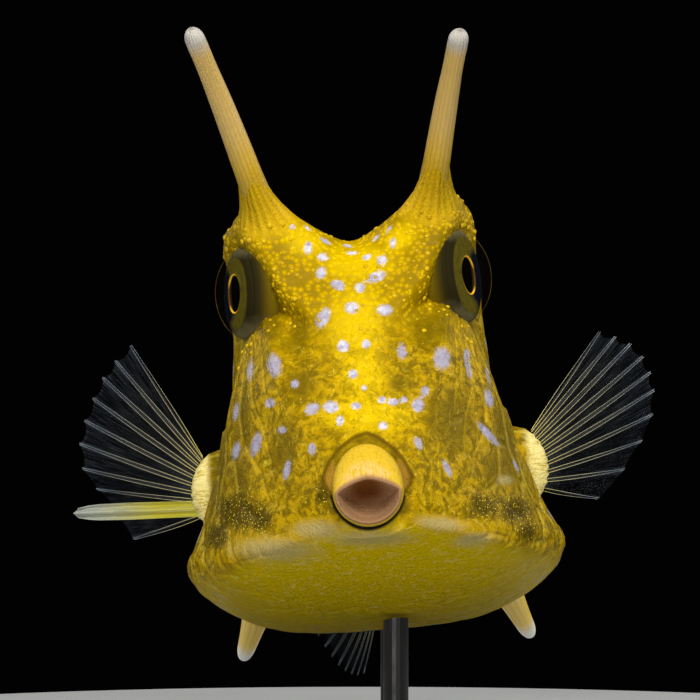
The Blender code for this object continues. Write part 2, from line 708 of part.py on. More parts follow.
def make_base(finish):
    bpy.ops.mesh.primitive_cube_add(size=1.0, location=(0.0, 0.0, BASE_SIZE.z * MM / 2))
    base = bpy.context.active_object
    base.name = "stand_base"
    base.data.transform(Matrix.Diagonal((*(BASE_SIZE * MM), 1.0)))
    base.data.materials.append(finish)
    corners = base.modifiers.new("rounded edges", "BEVEL")
    corners.width = BASE_ROUNDING * MM
    corners.segments = 3
    corners.limit_method = "ANGLE"
    for holder in list(base.users_collection):
        holder.objects.unlink(base)
    fish_parts.objects.link(base)
    return base


def make_rod(name, y, clearance, finish):
    """A plain round rod from the base up to the belly, its top cut to the belly's shape."""
    low = BASE_SIZE.z + GAP
    bm = bmesh.new()
    bmesh.ops.create_cone(bm, cap_ends=True, segments=20, radius1=ROD_RADIUS, radius2=ROD_RADIUS,
                          depth=PIVOT_HEIGHT - low)
    bmesh.ops.translate(bm, vec=(ROD_X, y, (PIVOT_HEIGHT + low) / 2), verts=bm.verts[:])
    rod = object_from(bm, name, finish)
    combine(rod, [clearance], "DIFFERENCE", keep_tools=True)
    return rod


clear_scene()
fish_parts = bpy.data.collections.new("longhorn_cowfish")
bpy.context.scene.collection.children.link(fish_parts)

skin_yellow = material("skin_yellow", (0.72, 0.50, 0.03), 0.45)
plate_yellow = material("plate_yellow", (0.66, 0.47, 0.05), 0.5)
horn_tan = material("horn_tan", (0.70, 0.52, 0.20), 0.45)
eye_black = material("eye_black", (0.01, 0.012, 0.02), 0.08)
lip_yellow = material("lip_yellow", (0.75, 0.55, 0.12), 0.4)
fin_clear = material("fin_clear", (0.78, 0.80, 0.74), 0.35)
fin_yellow = material("fin_yellow", (0.78, 0.62, 0.18), 0.4)
stand_black = material("stand_black", (0.03, 0.03, 0.035), 0.35)

plate_top = PLATE_RISE + PLATE_DOME - GROOVE_DEPTH
clearance = carapace_shell("clearance", COLLAR_Y, CARAPACE_END_Y + GAP, plate_top + GAP, skin_yellow,
                           40)

head = make_head(skin_yellow)
mouth = make_mouth(lip_yellow)
torso = make_torso(plate_yellow)
fish = [head, mouth, torso, make_tail(skin_yellow), make_caudal(fin_yellow)]

fish.append(make_back_fin("dorsal_fin", DORSAL_ROOT, DORSAL_LEAN, DORSAL_LENGTH,
                          DORSAL_SIDEWAYS, clearance, fin_clear))
fish.append(make_back_fin("anal_fin", ANAL_ROOT, ANAL_LEAN, ANAL_LENGTH, ANAL_SIDEWAYS,
                          clearance, fin_clear))

for side in HORN_TIPS:
    fish.append(make_horn(side, horn_tan))
    fish.append(make_eye(side, eye_black))
    fish.append(make_pectoral_base(side, clearance, skin_yellow))
    fish.append(make_pectoral(side, clearance, fin_clear))
    fish.append(make_rear_spine(side, clearance, horn_tan))

pose = bpy.data.objects.new("pose", None)
fish_parts.objects.link(pose)
pose.rotation_mode = "YXZ"
pose.location = (0.0, 0.0, PIVOT_HEIGHT * MM)
pose.rotation_euler = (-PITCH_UP, -ROLL_LEFT_UP, -YAW)
for item in fish:
    item.parent = pose
    item.location = -PIVOT * MM

clearance.data.transform(fish_matrix())
make_base(stand_black)
for name, y in ROD_PLACES.items():
    make_rod("stand_rod_" + name, y, clearance, stand_black)
bpy.data.objects.remove(clearance, do_unlink=True)
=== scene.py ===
# A young longhorn cowfish as a museum would show it: painted hide over a plated box, clear fins,
# wet eyes with a gold ring and two slender horns, held by two thin rods on a plain base.
import math

import bmesh
import bpy
import numpy as np
from mathutils import Matrix, Vector


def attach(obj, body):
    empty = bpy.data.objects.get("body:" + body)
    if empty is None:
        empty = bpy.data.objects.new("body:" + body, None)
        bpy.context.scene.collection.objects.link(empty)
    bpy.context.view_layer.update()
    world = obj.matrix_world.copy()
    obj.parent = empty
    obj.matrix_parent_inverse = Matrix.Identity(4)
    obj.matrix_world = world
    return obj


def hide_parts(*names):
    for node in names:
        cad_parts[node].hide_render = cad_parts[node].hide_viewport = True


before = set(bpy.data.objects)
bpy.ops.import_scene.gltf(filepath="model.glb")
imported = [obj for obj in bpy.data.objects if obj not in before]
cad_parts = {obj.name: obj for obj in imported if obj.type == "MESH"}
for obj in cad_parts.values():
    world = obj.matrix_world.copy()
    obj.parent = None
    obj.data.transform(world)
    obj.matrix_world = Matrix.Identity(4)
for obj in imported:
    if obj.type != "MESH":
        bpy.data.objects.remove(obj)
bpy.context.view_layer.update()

# The pose: the fish's own frame is in millimetres, nose along -Y, back up, left side along +X,
# y 0 at the lips and z 0 at the belly's lowest line. It hangs nose up and left side up.
MM = 0.001
PITCH_UP = math.radians(9.5)
ROLL_LEFT_UP = math.radians(4.7)
YAW = math.radians(1.4)
PIVOT = Vector((0.0, 45.0, 20.0))
PIVOT_HEIGHT = 45.0

fish_to_world = (
    Matrix.Translation((0.0, 0.0, PIVOT_HEIGHT * MM))
    @ Matrix.Rotation(-YAW, 4, "Z") @ Matrix.Rotation(-PITCH_UP, 4, "X")
    @ Matrix.Rotation(-ROLL_LEFT_UP, 4, "Y")
    @ Matrix.Translation(-PIVOT * MM) @ Matrix.Scale(MM, 4)
)


def placed(points):
    """Fish-frame points in an array to the world's metres."""
    turn = np.array(fish_to_world.to_3x3())
    return points @ turn.T + np.array(fish_to_world.translation)


def added(name, data):
    """A new object for data, linked to the scene."""
    item = bpy.data.objects.new(name, data)
    bpy.context.scene.collection.objects.link(item)
    return item


# The camera: level with the floor and straight before the fish, as in the photograph.
FRAME_PIXELS = 700
FOCAL_PIXELS = 3168.0
SENSOR_WIDTH = 36.0
LENS_TO_LIPS = 318.0
MOUTH_CENTRE = Vector((0.0, 0.0, 9.4))
MOUTH_PIXEL = (368.0, 492.0)

eye_point = fish_to_world @ MOUTH_CENTRE
eye_point.x -= (MOUTH_PIXEL[0] - FRAME_PIXELS / 2) / FOCAL_PIXELS * LENS_TO_LIPS * MM
eye_point.y -= LENS_TO_LIPS * MM
eye_point.z += (MOUTH_PIXEL[1] - FRAME_PIXELS / 2) / FOCAL_PIXELS * LENS_TO_LIPS * MM
lens = bpy.data.cameras.new("front_camera")
lens.sensor_width = SENSOR_WIDTH
lens.lens = FOCAL_PIXELS * SENSOR_WIDTH / FRAME_PIXELS
lens.clip_start = 0.01
camera = added("front_camera", lens)
camera.location = eye_point
camera.rotation_euler = (math.pi / 2, 0.0, 0.0)
bpy.context.scene.camera = camera


def pixels_of(points):
    """Where fish-frame points fall in the 700 pixel frame."""
    away = placed(points) - np.array(eye_point)
    across = FRAME_PIXELS / 2 + FOCAL_PIXELS * away[..., 0] / away[..., 1]
    down = FRAME_PIXELS / 2 - FOCAL_PIXELS * away[..., 2] / away[..., 1]
    return across, down


# The hide: one skin over face, box, snout, fin lobes and tail stalk. A real cowfish wears it
# tight over fused six-sided plates. It is a grid of rings lofted from the throat to the tail,
# with the plates, horn roots, eye sockets, lobes and gill slits pushed into it.
SIGNS = {"left": 1.0, "right": -1.0}
COLUMNS = 20
RIDGE_COLUMN = 2.0
KEEL_COLUMN = 7.0
BELLY_COLUMN = 10.0
CORNER_ROUNDING = 0.24
CORNER_SHIFTS = (-1.0, -0.5, 0.0, 0.5, 1.0)
SADDLE_POWER = 1.1
BELLY_POWER = 3.6
BACK_Z = ((4.6, 13.8), (6.0, 16.0), (12.0, 27.0), (17.0, 36.6), (20.0, 38.6), (26.0, 40.2),
          (34.0, 41.6), (44.0, 42.6), (56.0, 41.4), (68.0, 37.4), (78.0, 31.0), (85.0, 25.4))
BELLY_Z = ((4.6, 5.4), (8.0, 5.0), (12.0, 4.0), (20.0, 1.9), (30.0, 0.2), (40.0, -0.5),
           (52.0, -0.2), (62.0, 1.0), (72.0, 3.2), (80.0, 7.0), (85.0, 11.6))
RIDGE_X = ((4.6, 3.2), (8.0, 6.2), (12.0, 9.4), (16.0, 12.0), (19.0, 13.3), (24.0, 13.4),
           (34.0, 14.0), (44.0, 14.2), (56.0, 13.2), (68.0, 10.8), (78.0, 7.4), (85.0, 4.4))
RIDGE_Z = ((4.6, 12.6), (8.0, 18.0), (12.0, 26.5), (15.0, 34.8), (17.0, 40.0), (19.0, 42.0),
           (24.0, 41.2), (32.0, 38.0), (44.0, 37.0), (56.0, 35.8), (68.0, 32.0), (78.0, 26.8),
           (85.0, 23.4))
KEEL_X = ((4.6, 3.4), (8.0, 7.8), (12.0, 12.2), (16.0, 15.4), (20.0, 17.5), (26.0, 19.4),
          (34.0, 21.0), (42.0, 21.7), (52.0, 21.5), (62.0, 20.4), (72.0, 18.2), (79.0, 15.0),
          (85.0, 6.2))
KEEL_Z = ((4.6, 6.6), (8.0, 5.8), (12.0, 5.2), (20.0, 5.0), (32.0, 6.2), (44.0, 6.8),
          (56.0, 6.4), (68.0, 6.2), (79.0, 7.8), (85.0, 13.2))
FLANK_SAG = ((4.6, -1.2), (8.0, -0.6), (12.0, 0.2), (20.0, 1.3), (34.0, 2.5), (56.0, 2.1),
             (72.0, 1.2), (85.0, -0.6))
EYE_CENTRE = np.array((10.1, 21.2, 34.5))
EYE_RADII = np.array((4.9, 5.5, 5.7))
ORBIT_CENTRE = np.array((16.0, 13.0, 31.0))
ORBIT_RADII = np.array((7.8, 6.0, 8.6))
HORN_BASE = np.array((9.5, 16.2, 44.2))
HORN_TIPS = {"left": np.array((13.2, -1.0, 56.0)), "right": np.array((-14.4, -1.0, 58.5))}
HORN_ROOT_DEPTH = 5.0
HORN_ROOT_NECK = (3.2, 1.7)
HORN_ROOT_CORE = (4.9, 2.0)
HORN_ROOT_SKIRT = (2.4, 4.6)
HORN_ROOT_FALL = 0.6
HORN_ROOT_FALL_FROM = 4.0
HORN_ROOT_BEHIND = (-10.0, -6.0)
HORN_ROOT_WITHIN = (9.0, 6.0)
HORN_ROOT_SOFTNESS = 0.8
HORN_FLUTES = 18
LOBE_CENTRE = np.array((17.0, 34.0, 15.8))
LOBE_RADII = np.array((2.9, 2.3, 4.9))
TAIL_PATH = ((0.0, 85.4, 19.0), (-0.2, 89.0, 19.4), (-2.0, 92.8, 19.8), (-5.4, 95.8, 20.1),
             (-9.6, 97.2, 20.4))
TAIL_HALF_DEPTH = (4.9, 3.9, 3.0, 2.4, 2.1)
TAIL_HALF_WIDTH = (3.4, 2.8, 2.1, 1.7, 1.4)
BOX_START_Y = 4.9
BOX_END_Y = 85.0
SKIN_COLUMNS = 300
APRON_ROWS = 14
BOX_ROWS = 264
SNOUT_ROWS = 42
STALK_ROWS = 22

# Snout rings from the root to the throat: y, height of the corners, half width, height above
# and below the corners, and how far the upper lip is peaked like a roof.
SNOUT_RINGS = ((4.75, 10.1, 3.30, 4.55, 3.55, 0.00), (4.3, 10.1, 3.60, 4.75, 3.70, 0.00),
               (3.4, 10.0, 3.65, 4.70, 3.72, 0.00), (2.4, 9.85, 3.60, 4.40, 3.62, 0.00),
               (1.3, 9.65, 3.54, 3.50, 3.48, 0.15), (0.45, 9.45, 3.44, 2.35, 3.30, 0.35),
               (0.05, 9.37, 3.27, 1.62, 3.12, 0.50), (0.1, 9.35, 3.10, 1.28, 2.92, 0.60),
               (0.7, 9.30, 2.80, 1.00, 2.60, 0.50), (2.0, 9.10, 2.20, 0.80, 2.00, 0.20),
               (3.4, 8.90, 1.30, 0.50, 1.20, 0.00), (3.9, 8.80, 0.20, 0.10, 0.20, 0.00))


def smooth_line(knots):
    """A smooth curve through (place, value) knots, for arrays of places."""
    places, values = np.array(knots, float).T
    slopes = np.gradient(values, places)

    def value_at(place):
        index = np.clip(np.searchsorted(places, place) - 1, 0, len(places) - 2)
        step = places[index + 1] - places[index]
        u = np.clip((place - places[index]) / step, 0.0, 1.0)
        start = (1 + 2 * u) * (1 - u) ** 2 * values[index] + u * (1 - u) ** 2 * step * slopes[index]
        end = u * u * (3 - 2 * u) * values[index + 1] + u * u * (u - 1) * step * slopes[index + 1]
        return start + end

    return value_at


def even_line(values, end=None):
    """A smooth curve through values one apart, or spread evenly from 0 to end."""
    last = len(values) - 1 if end is None else end
    return smooth_line(np.stack((np.linspace(0.0, last, len(values)), values), axis=1))


back_z, belly_z, ridge_x, ridge_z, keel_x, keel_z, flank_sag = (
    smooth_line(knots) for knots in (BACK_Z, BELLY_Z, RIDGE_X, RIDGE_Z, KEEL_X, KEEL_Z, FLANK_SAG)
)


def sharp_section(y, column):
    """Points of the five-ridged section at y; column 0 is the back, 10 the belly."""
    column = np.mod(column, COLUMNS)
    side = np.where(column > BELLY_COLUMN, -1.0, 1.0)
    column = np.where(column > BELLY_COLUMN, COLUMNS - column, column)
    top = np.clip(column / RIDGE_COLUMN, 0.0, 1.0)
    flank = np.clip((column - RIDGE_COLUMN) / (KEEL_COLUMN - RIDGE_COLUMN), 0.0, 1.0)
    under = np.clip((BELLY_COLUMN - column) / (BELLY_COLUMN - KEEL_COLUMN), 0.0, 1.0)
    on_top = column <= RIDGE_COLUMN
    on_flank = column <= KEEL_COLUMN
    flank_x = ridge_x(y) + (keel_x(y) - ridge_x(y)) * flank - flank_sag(y) * 4 * flank * (1 - flank)
    flank_z = ridge_z(y) + (keel_z(y) - ridge_z(y)) * flank
    top_z = back_z(y) + (ridge_z(y) - back_z(y)) * top ** SADDLE_POWER
    under_z = belly_z(y) + (keel_z(y) - belly_z(y)) * under ** BELLY_POWER
    x = np.where(on_top, ridge_x(y) * top, np.where(on_flank, flank_x, keel_x(y) * under))
    z = np.where(on_top, top_z, np.where(on_flank, flank_z, under_z))
    return np.stack((side * x, y + 0 * x, z), axis=-1)


def carapace_point(y, column):
    total = sum(sharp_section(y, column + shift * CORNER_ROUNDING) for shift in CORNER_SHIFTS)
    return total / len(CORNER_SHIFTS)


def soft_step(value, low, high):
    u = np.clip((value - low) / (high - low), 0.0, 1.0)
    return u * u * (3 - 2 * u)


def swell(value, middle, width):
    """One at middle, falling away smoothly over the width to both sides."""
    return np.exp(-((value - middle) / width) ** 2)


def mirrored(vector, side):
    return vector * np.array((SIGNS[side], 1.0, 1.0))


def horn_axis(side):
    base = mirrored(HORN_BASE, side)
    away = HORN_TIPS[side] - base
    return base, away / np.linalg.norm(away)


def cross_axes(direction):
    """Two unit axes across a direction, the first as near to upright as it can be."""
    level = np.cross(direction, (1.0, 0.0, 0.0))
    level = level / np.linalg.norm(level)
    return level, np.cross(level, direction)


def grid_normals(points):
    """Outward normals of a ring grid: rows run to the tail, columns from back over +X."""
    along = np.gradient(points, axis=0)
    around = np.roll(points, -1, axis=1) - np.roll(points, 1, axis=1)
    normal = np.cross(around, along)
    length = np.linalg.norm(normal, axis=-1, keepdims=True)
    return normal / np.maximum(length, 1e-9)


def raised(points, height):
    return points + grid_normals(points) * height[..., None]


# Rows of the box sit closer where the face is steep, by arc length along five lines.
probe_y = np.linspace(BOX_START_Y, BOX_END_Y, 1200)
probe_steps = []
for probe_column in (0.0, 1.5, 4.0, 6.5, 10.0):
    probe_line = carapace_point(probe_y, np.full_like(probe_y, probe_column))
    probe_steps.append(np.linalg.norm(np.diff(probe_line, axis=0), axis=1))
travelled = np.concatenate(((0.0,), np.cumsum(np.mean(probe_steps, axis=0))))
row_y = np.interp(np.linspace(0.0, travelled[-1], BOX_ROWS - APRON_ROWS), travelled, probe_y)
ring_column = np.arange(SKIN_COLUMNS) * COLUMNS / SKIN_COLUMNS

# Snout rings, dense and smooth, from the throat out to its root on the face.
snout_lines = [even_line(part) for part in np.array(SNOUT_RINGS).T]
angle = 2 * math.pi * ring_column / COLUMNS
snout_t = np.linspace(len(SNOUT_RINGS) - 1, 0.0, SNOUT_ROWS)
snout_rows = []
for t in snout_t:
    y, middle, half_width, above, below, peak = (float(part(t)) for part in snout_lines)
    upward = np.cos(angle)
    roof = 1 - np.abs(np.sin(angle)) ** 1.25
    lifted = np.where(upward > 0, above * (upward * (1 - peak) + roof * peak), below * upward)
    snout_rows.append(np.stack((half_width * np.sin(angle), np.full_like(angle, y), middle + lifted),
                               axis=-1))
snout = np.array(snout_rows)

# An apron of rows joins the root of the snout to the first ring of the box.
row_y = np.concatenate((np.full(APRON_ROWS, BOX_START_Y), row_y))
box_y, box_column = np.meshgrid(row_y, ring_column, indexing="ij")
half_column = np.minimum(box_column, COLUMNS - box_column)
box = carapace_point(box_y, box_column)
outward_share = (np.arange(APRON_ROWS) + 1.0)[:, None, None] / (APRON_ROWS + 1)
box[:APRON_ROWS] = snout[-1] + (box[APRON_ROWS] - snout[-1]) * outward_share

# Horn roots: the brow is drawn up and forward into each horn as a hollow-sided cone.
for side in SIGNS:
    base, direction = horn_axis(side)
    offset = box - base
    distance = np.linalg.norm(np.cross(offset, direction), axis=-1)
    along = offset @ direction
    cone = -HORN_ROOT_DEPTH - HORN_ROOT_FALL * np.maximum(distance - HORN_ROOT_FALL_FROM, 0.0)
    for height, spread in (HORN_ROOT_NECK, HORN_ROOT_CORE, HORN_ROOT_SKIRT):
        cone = cone + height * swell(distance, 0.0, spread)
    lifted = 0.5 * (along + cone + np.hypot(along - cone, HORN_ROOT_SOFTNESS))
    rise = (lifted - along) * soft_step(along, *HORN_ROOT_BEHIND) * soft_step(distance, *HORN_ROOT_WITHIN)
    box = box + direction * rise[..., None]

# Eye sockets: the flank is hollowed in front of each eye, with a low beaded rim round the ball.
FAR_AWAY = 99.0
ORBIT_SOFTNESS = 0.10
ORBIT_LIMIT = 2.0
ORBIT_FADE = (1.6, 1.2)
EYE_TURN = math.radians(68.0)
EYE_OUTWARD = np.array((math.sin(EYE_TURN), -math.cos(EYE_TURN), 0.0))
EYE_CAP_AXIS = np.array((0.862, -0.094, -0.50))
EYE_CAP_LEVEL = 0.06
EYE_CAP_REAR = 0.62
EYE_CAP_REAR_FROM = (-0.25, 0.55)
EYE_CAP_BAND = 0.32
TUCKED_REACH = 0.25
TUCK_FADE = (2.7, 1.9)
RIM_DISTANCE = 0.8
RIM_HEIGHT = 0.25
RIM_WIDTH = 0.6
eye_distance = np.full(box.shape[:2], FAR_AWAY)
for side in SIGNS:
    centre = mirrored(ORBIT_CENTRE, side)
    reach = np.linalg.norm((box - centre) / ORBIT_RADII, axis=-1)
    pushed = 0.5 * (reach + 1.0 + np.sqrt((reach - 1.0) ** 2 + ORBIT_SOFTNESS ** 2))
    excess = 0.5 * ORBIT_SOFTNESS * soft_step(reach, ORBIT_LIMIT, 1.0)
    pushed = np.where(reach < ORBIT_LIMIT, pushed - excess, reach)
    factor = np.where(reach < ORBIT_FADE[0], np.maximum(pushed / np.maximum(reach, 1e-6), 1.0), 1.0)
    fade = soft_step(reach, *ORBIT_FADE)
    box = centre + (box - centre) * (1 + (factor - 1) * fade)[..., None]
    ball = mirrored(EYE_CENTRE, side)
    across_ball = (box - ball) / EYE_RADII
    within = np.linalg.norm(across_ball, axis=-1)
    direction = across_ball / within[..., None]
    level = EYE_CAP_LEVEL + EYE_CAP_REAR * soft_step(direction[..., 1], *EYE_CAP_REAR_FROM)
    cap = direction @ mirrored(EYE_CAP_AXIS, side) - level
    tuck = soft_step(cap, -EYE_CAP_BAND, 0.0) * soft_step(within, *TUCK_FADE)
    tucked = within + (np.minimum(within, TUCKED_REACH) - within) * tuck
    box = ball + (box - ball) * (tucked / within)[..., None]
    eye_distance = np.minimum(eye_distance, (tucked - 1.0) * EYE_RADII.mean())
rim = RIM_HEIGHT * swell(eye_distance, RIM_DISTANCE, RIM_WIDTH) * soft_step(eye_distance, 0.0, 0.6)
box = raised(box, rim)

# Plates: six-sided, domed, with soft grooves between them. They are laid out flat, by column
# and by length along the body, and fade out over the snout and the forehead.
COLUMN_WIDTH = 6.8
PLATE_ROW_STEP = 5.95
PLATE_FIRST_Y = 23.8
FACE_STRETCH = 1.45
GROOVE_DEPTH = 0.3
PLATE_RISE = 0.35
PLATE_DOME = 0.25
PLATE_HALF_WIDTH = 3.4
PLATE_HALF_SLANT = 3.43
GROOVE_EDGE = (0.05, 0.75)
FACE_PLATE_SHARE = 0.40
FACE_PLATES_Y = (14.0, 30.0)
FOREHEAD_FADE = (6.0, 13.0)
FOREHEAD_END_Y = 18.0
SOCKET_FADE = 3.0
UNDER_FRONT_Y = (60.0, 40.0)
WARP_SIZES = ((0.21, 0.33, 0.9), (0.47, 0.39, 0.45))

plate_y = np.where(box_y > PLATE_FIRST_Y, box_y,
                   PLATE_FIRST_Y - FACE_STRETCH * (PLATE_FIRST_Y - box_y)) - PLATE_FIRST_Y
plate_x = box_column * COLUMN_WIDTH
for across_rate, along_rate, amount in WARP_SIZES:
    turn = 2 * math.pi * box_column / COLUMNS
    plate_x = plate_x + amount * 0.5 * np.sin(along_rate * plate_y + 3 * turn + 1.0)
    plate_y = plate_y + amount * 0.5 * np.sin(across_rate * 9 * turn + along_rate * plate_y)
plate_edge = np.full(box.shape[:2], -9.0)
plate_reach = np.full(box.shape[:2], 9.0)
plate_row = np.floor(plate_y / PLATE_ROW_STEP)
for shift in (-1, 0, 1):
    row = plate_row + shift
    centre_y = (row + 0.5) * PLATE_ROW_STEP
    stagger = 0.5 * np.mod(row, 2)
    centre_x = (np.round(plate_x / COLUMN_WIDTH - stagger) + stagger) * COLUMN_WIDTH
    off_x = np.abs(plate_x - centre_x) / (COLUMN_WIDTH / 2)
    off_y = np.abs(plate_y - centre_y) / (PLATE_ROW_STEP * 2 / 3)
    edge = np.minimum(PLATE_HALF_WIDTH * (1 - off_x), PLATE_HALF_SLANT * (1 - off_y - off_x / 2))
    plate_reach = np.where(edge > plate_edge, np.hypot(off_x, off_y), plate_reach)
    plate_edge = np.maximum(plate_edge, edge)
plate_strength = FACE_PLATE_SHARE + (1 - FACE_PLATE_SHARE) * soft_step(box_y, *FACE_PLATES_Y)
from_forehead = np.abs(box[..., 0]) + 0.7 * np.maximum(box_y - FOREHEAD_END_Y, 0.0)
plate_strength *= soft_step(from_forehead, *FOREHEAD_FADE)
plate_strength *= 1.0 - 0.75 * swell(eye_distance, 0.0, SOCKET_FADE)
under_front = soft_step(half_column, KEEL_COLUMN, KEEL_COLUMN + 0.6) * soft_step(box_y, *UNDER_FRONT_Y)
plate_strength *= 1.0 - 0.8 * under_front
relief = -GROOVE_DEPTH + PLATE_RISE * soft_step(plate_edge, *GROOVE_EDGE)
relief = relief + PLATE_DOME * (1 - np.clip(plate_reach, 0.0, 1.0) ** 2)
box = raised(box, relief * plate_strength)

# The keels are finely scalloped, as the plates there end in small bumps.
SCALLOP_STEP = 1.7
SCALLOP_HEIGHT = 0.38
SCALLOP_COLUMNS = 0.30
SCALLOPS_FROM_Y = (8.0, 22.0)
keel_nearness = swell(half_column, KEEL_COLUMN, SCALLOP_COLUMNS) * soft_step(box_y, *SCALLOPS_FROM_Y)
scallop = np.abs(np.sin(math.pi * plate_y / SCALLOP_STEP)) - 0.5
box = raised(box, SCALLOP_HEIGHT * keel_nearness * scallop)

# Fin lobes swell out of each flank behind the gill slit, a short arc with a low flap ahead of it,
# and a nostril with a raised rim lies before each eye.
GILL_ARC = ((31.0, 4.75), (29.9, 5.5), (31.2, 6.3))
GILL_HALF_WIDTH = 0.42
GILL_DEPTH = 0.75
NOSTRIL_PLACE = (12.6, 2.5)
NOSTRIL_RADIUS = 0.5
NOSTRIL_RIM = 0.12
NOSTRIL_DEPTH = 0.7
LOBE_FLUTES = 11
LOBE_SHIFT_DOWN = 0.9
LOBE_LENGTH_SHARE = 1.15
LOBE_DEPTH_SHARE = 0.98
LOBE_FLUTE_SHARE = 0.05
LOBE_SUNK = 0.6
LOBE_FROM_X = 8.0
GILL_HALF_COLUMNS = 0.75
GILL_END_SOFTNESS = 0.12
GILL_FLAP_HEIGHT = 0.35
GILL_FLAP_Y = 28.6
GILL_FLAP_WIDTH = 0.8

arc_y, arc_column = np.array(GILL_ARC).T
arc_t = np.clip((half_column - arc_column[0]) / (arc_column[2] - arc_column[0]), 0.0, 1.0)
arc_mid = arc_y[0] * (1 - arc_t) ** 2 + 2 * arc_y[1] * arc_t * (1 - arc_t) + arc_y[2] * arc_t ** 2
beyond = (np.abs(half_column - arc_column.mean()) - GILL_HALF_COLUMNS) / GILL_END_SOFTNESS
slit = swell(box_y, arc_mid, GILL_HALF_WIDTH) / (1 + np.exp(np.clip(beyond * 4, -30, 30)))
lobe_share = np.zeros(box.shape[:2])
gill_share = np.zeros(box.shape[:2])
nostril_share = np.zeros(box.shape[:2])
for side, sign in SIGNS.items():
    centre = mirrored(LOBE_CENTRE, side)
    centre[2] -= LOBE_SHIFT_DOWN
    on_side = box[..., 0] * sign > LOBE_FROM_X
    off_y = (box[..., 1] - centre[1]) / (LOBE_RADII[1] * LOBE_LENGTH_SHARE)
    off_z = (box[..., 2] - centre[2]) / (LOBE_RADII[2] * LOBE_DEPTH_SHARE)
    inside = np.clip(1 - off_y ** 2 - off_z ** 2, 0.0, 1.0)
    flutes = LOBE_FLUTE_SHARE * np.cos(LOBE_FLUTES * math.pi * off_z) * soft_step(inside, 0.1, 0.6)
    lobe_x = LOBE_CENTRE[0] - LOBE_SUNK + (LOBE_RADII[0] + LOBE_SUNK) * inside ** 0.6 * (1 + flutes)
    shown = np.where(on_side & (inside > 0), lobe_x - sign * box[..., 0], 0.0)
    box[..., 0] += sign * np.maximum(shown, 0.0)
    lobe_share = np.maximum(lobe_share, np.where(on_side, soft_step(inside, 0.0, 0.35), 0.0))
    gill_share = np.maximum(gill_share, np.where(on_side, slit, 0.0))

    pit = mirrored(carapace_point(*[np.array(part) for part in NOSTRIL_PLACE]), side)
    from_pit = np.linalg.norm(box - pit, axis=-1)
    nostril_share = np.maximum(nostril_share, swell(from_pit, 0.0, NOSTRIL_RADIUS))
    box = raised(box, NOSTRIL_RIM * swell(from_pit, 2.0 * NOSTRIL_RADIUS, 0.7 * NOSTRIL_RADIUS))
gill_flap = GILL_FLAP_HEIGHT * swell(box_y, GILL_FLAP_Y, GILL_FLAP_WIDTH)
gill_flap = gill_flap * soft_step(gill_share.max(axis=0), 0.2, 0.8)
box = raised(box, gill_flap - GILL_DEPTH * gill_share - NOSTRIL_DEPTH * nostril_share)

# Tail stalk rings, from the rear rim of the box to the root of the tail fin.
REAR_RIM = (0.0, 85.1, 19.0)
stalk_line = [even_line(part) for part in np.array(TAIL_PATH).T]
stalk_depth = even_line(TAIL_HALF_DEPTH)
stalk_width = even_line(TAIL_HALF_WIDTH)
stalk_rows = []
for t in np.linspace(0.0, len(TAIL_PATH) - 1, STALK_ROWS):
    centre = np.array([float(part(t)) for part in stalk_line])
    ahead = np.array([float(part(t + 0.05)) - float(part(t - 0.05)) for part in stalk_line])
    if t == 0:
        ahead = np.subtract(TAIL_PATH[1], TAIL_PATH[0])
    elif t == len(TAIL_PATH) - 1:
        ahead = np.subtract(TAIL_PATH[-1], TAIL_PATH[-2])
    across = np.cross(ahead, (0.0, 0.0, 1.0))
    across = across / np.linalg.norm(across)
    ring = centre + np.outer(np.sin(angle) * float(stalk_width(t)), across)
    ring[:, 2] += np.cos(angle) * float(stalk_depth(t))
    stalk_rows.append(ring)
stalk = np.array(stalk_rows)
tuck = np.array(REAR_RIM) + (box[-1] - np.array(REAR_RIM)) * np.array((0.82, 1.0, 0.82))
tuck[:, 1] = REAR_RIM[1]
skin_grid = np.concatenate((snout, box, tuck[None], stalk), axis=0)


def ring_mesh(name, grid):
    """A closed mesh from a grid of rings with a fan at each end, its faces turned outward."""
    rows, columns = grid.shape[:2]
    ends = np.stack((grid[0].mean(axis=0), grid[-1].mean(axis=0)))
    points = placed(np.concatenate((grid.reshape(-1, 3), ends)))
    index = np.arange(rows * columns).reshape(rows, columns)
    after = np.roll(index, -1, axis=1)
    quads = np.stack((index[:-1], index[1:], after[1:], after[:-1]), axis=-1).reshape(-1, 4)
    first = rows * columns
    faces = [tuple(quad) for quad in quads.tolist()]
    faces += [(first, a, b) for a, b in zip(index[0].tolist(), after[0].tolist())]
    faces += [(first + 1, b, a) for a, b in zip(index[-1].tolist(), after[-1].tolist())]
    mesh = bpy.data.meshes.new(name)
    mesh.from_pydata(points.tolist(), [], faces)
    mesh.shade_smooth()
    check = bmesh.new()
    check.from_mesh(mesh)
    if check.calc_volume(signed=True) < 0:
        bmesh.ops.reverse_faces(check, faces=check.faces[:])
        check.to_mesh(mesh)
    check.free()
    return added(name, mesh)


def store(item, name, values):
    """One number or three for each vertex; the two end points take the first and last values."""
    kind, field, size = ("FLOAT_VECTOR", "vector", 3) if np.ndim(values) == 3 else ("FLOAT", "value", 1)
    flat = np.asarray(values, float).reshape(-1, size)
    flat = np.concatenate((flat, flat[:1], flat[-1:])).astype(np.float32)
    item.data.attributes.new(name, kind, "POINT").data.foreach_set(field, flat.ravel())


skin = ring_mesh("cowfish_skin", skin_grid)


def whole(snout_value, box_values, stalk_value):
    """Values for the box, with one number or ring each for the snout and the stalk."""
    head_part = np.broadcast_to(np.asarray(snout_value, float), (SNOUT_ROWS, SKIN_COLUMNS))
    tail_part = np.full((1 + STALK_ROWS, SKIN_COLUMNS), float(stalk_value))
    return np.concatenate((head_part, box_values, tail_part), axis=0)


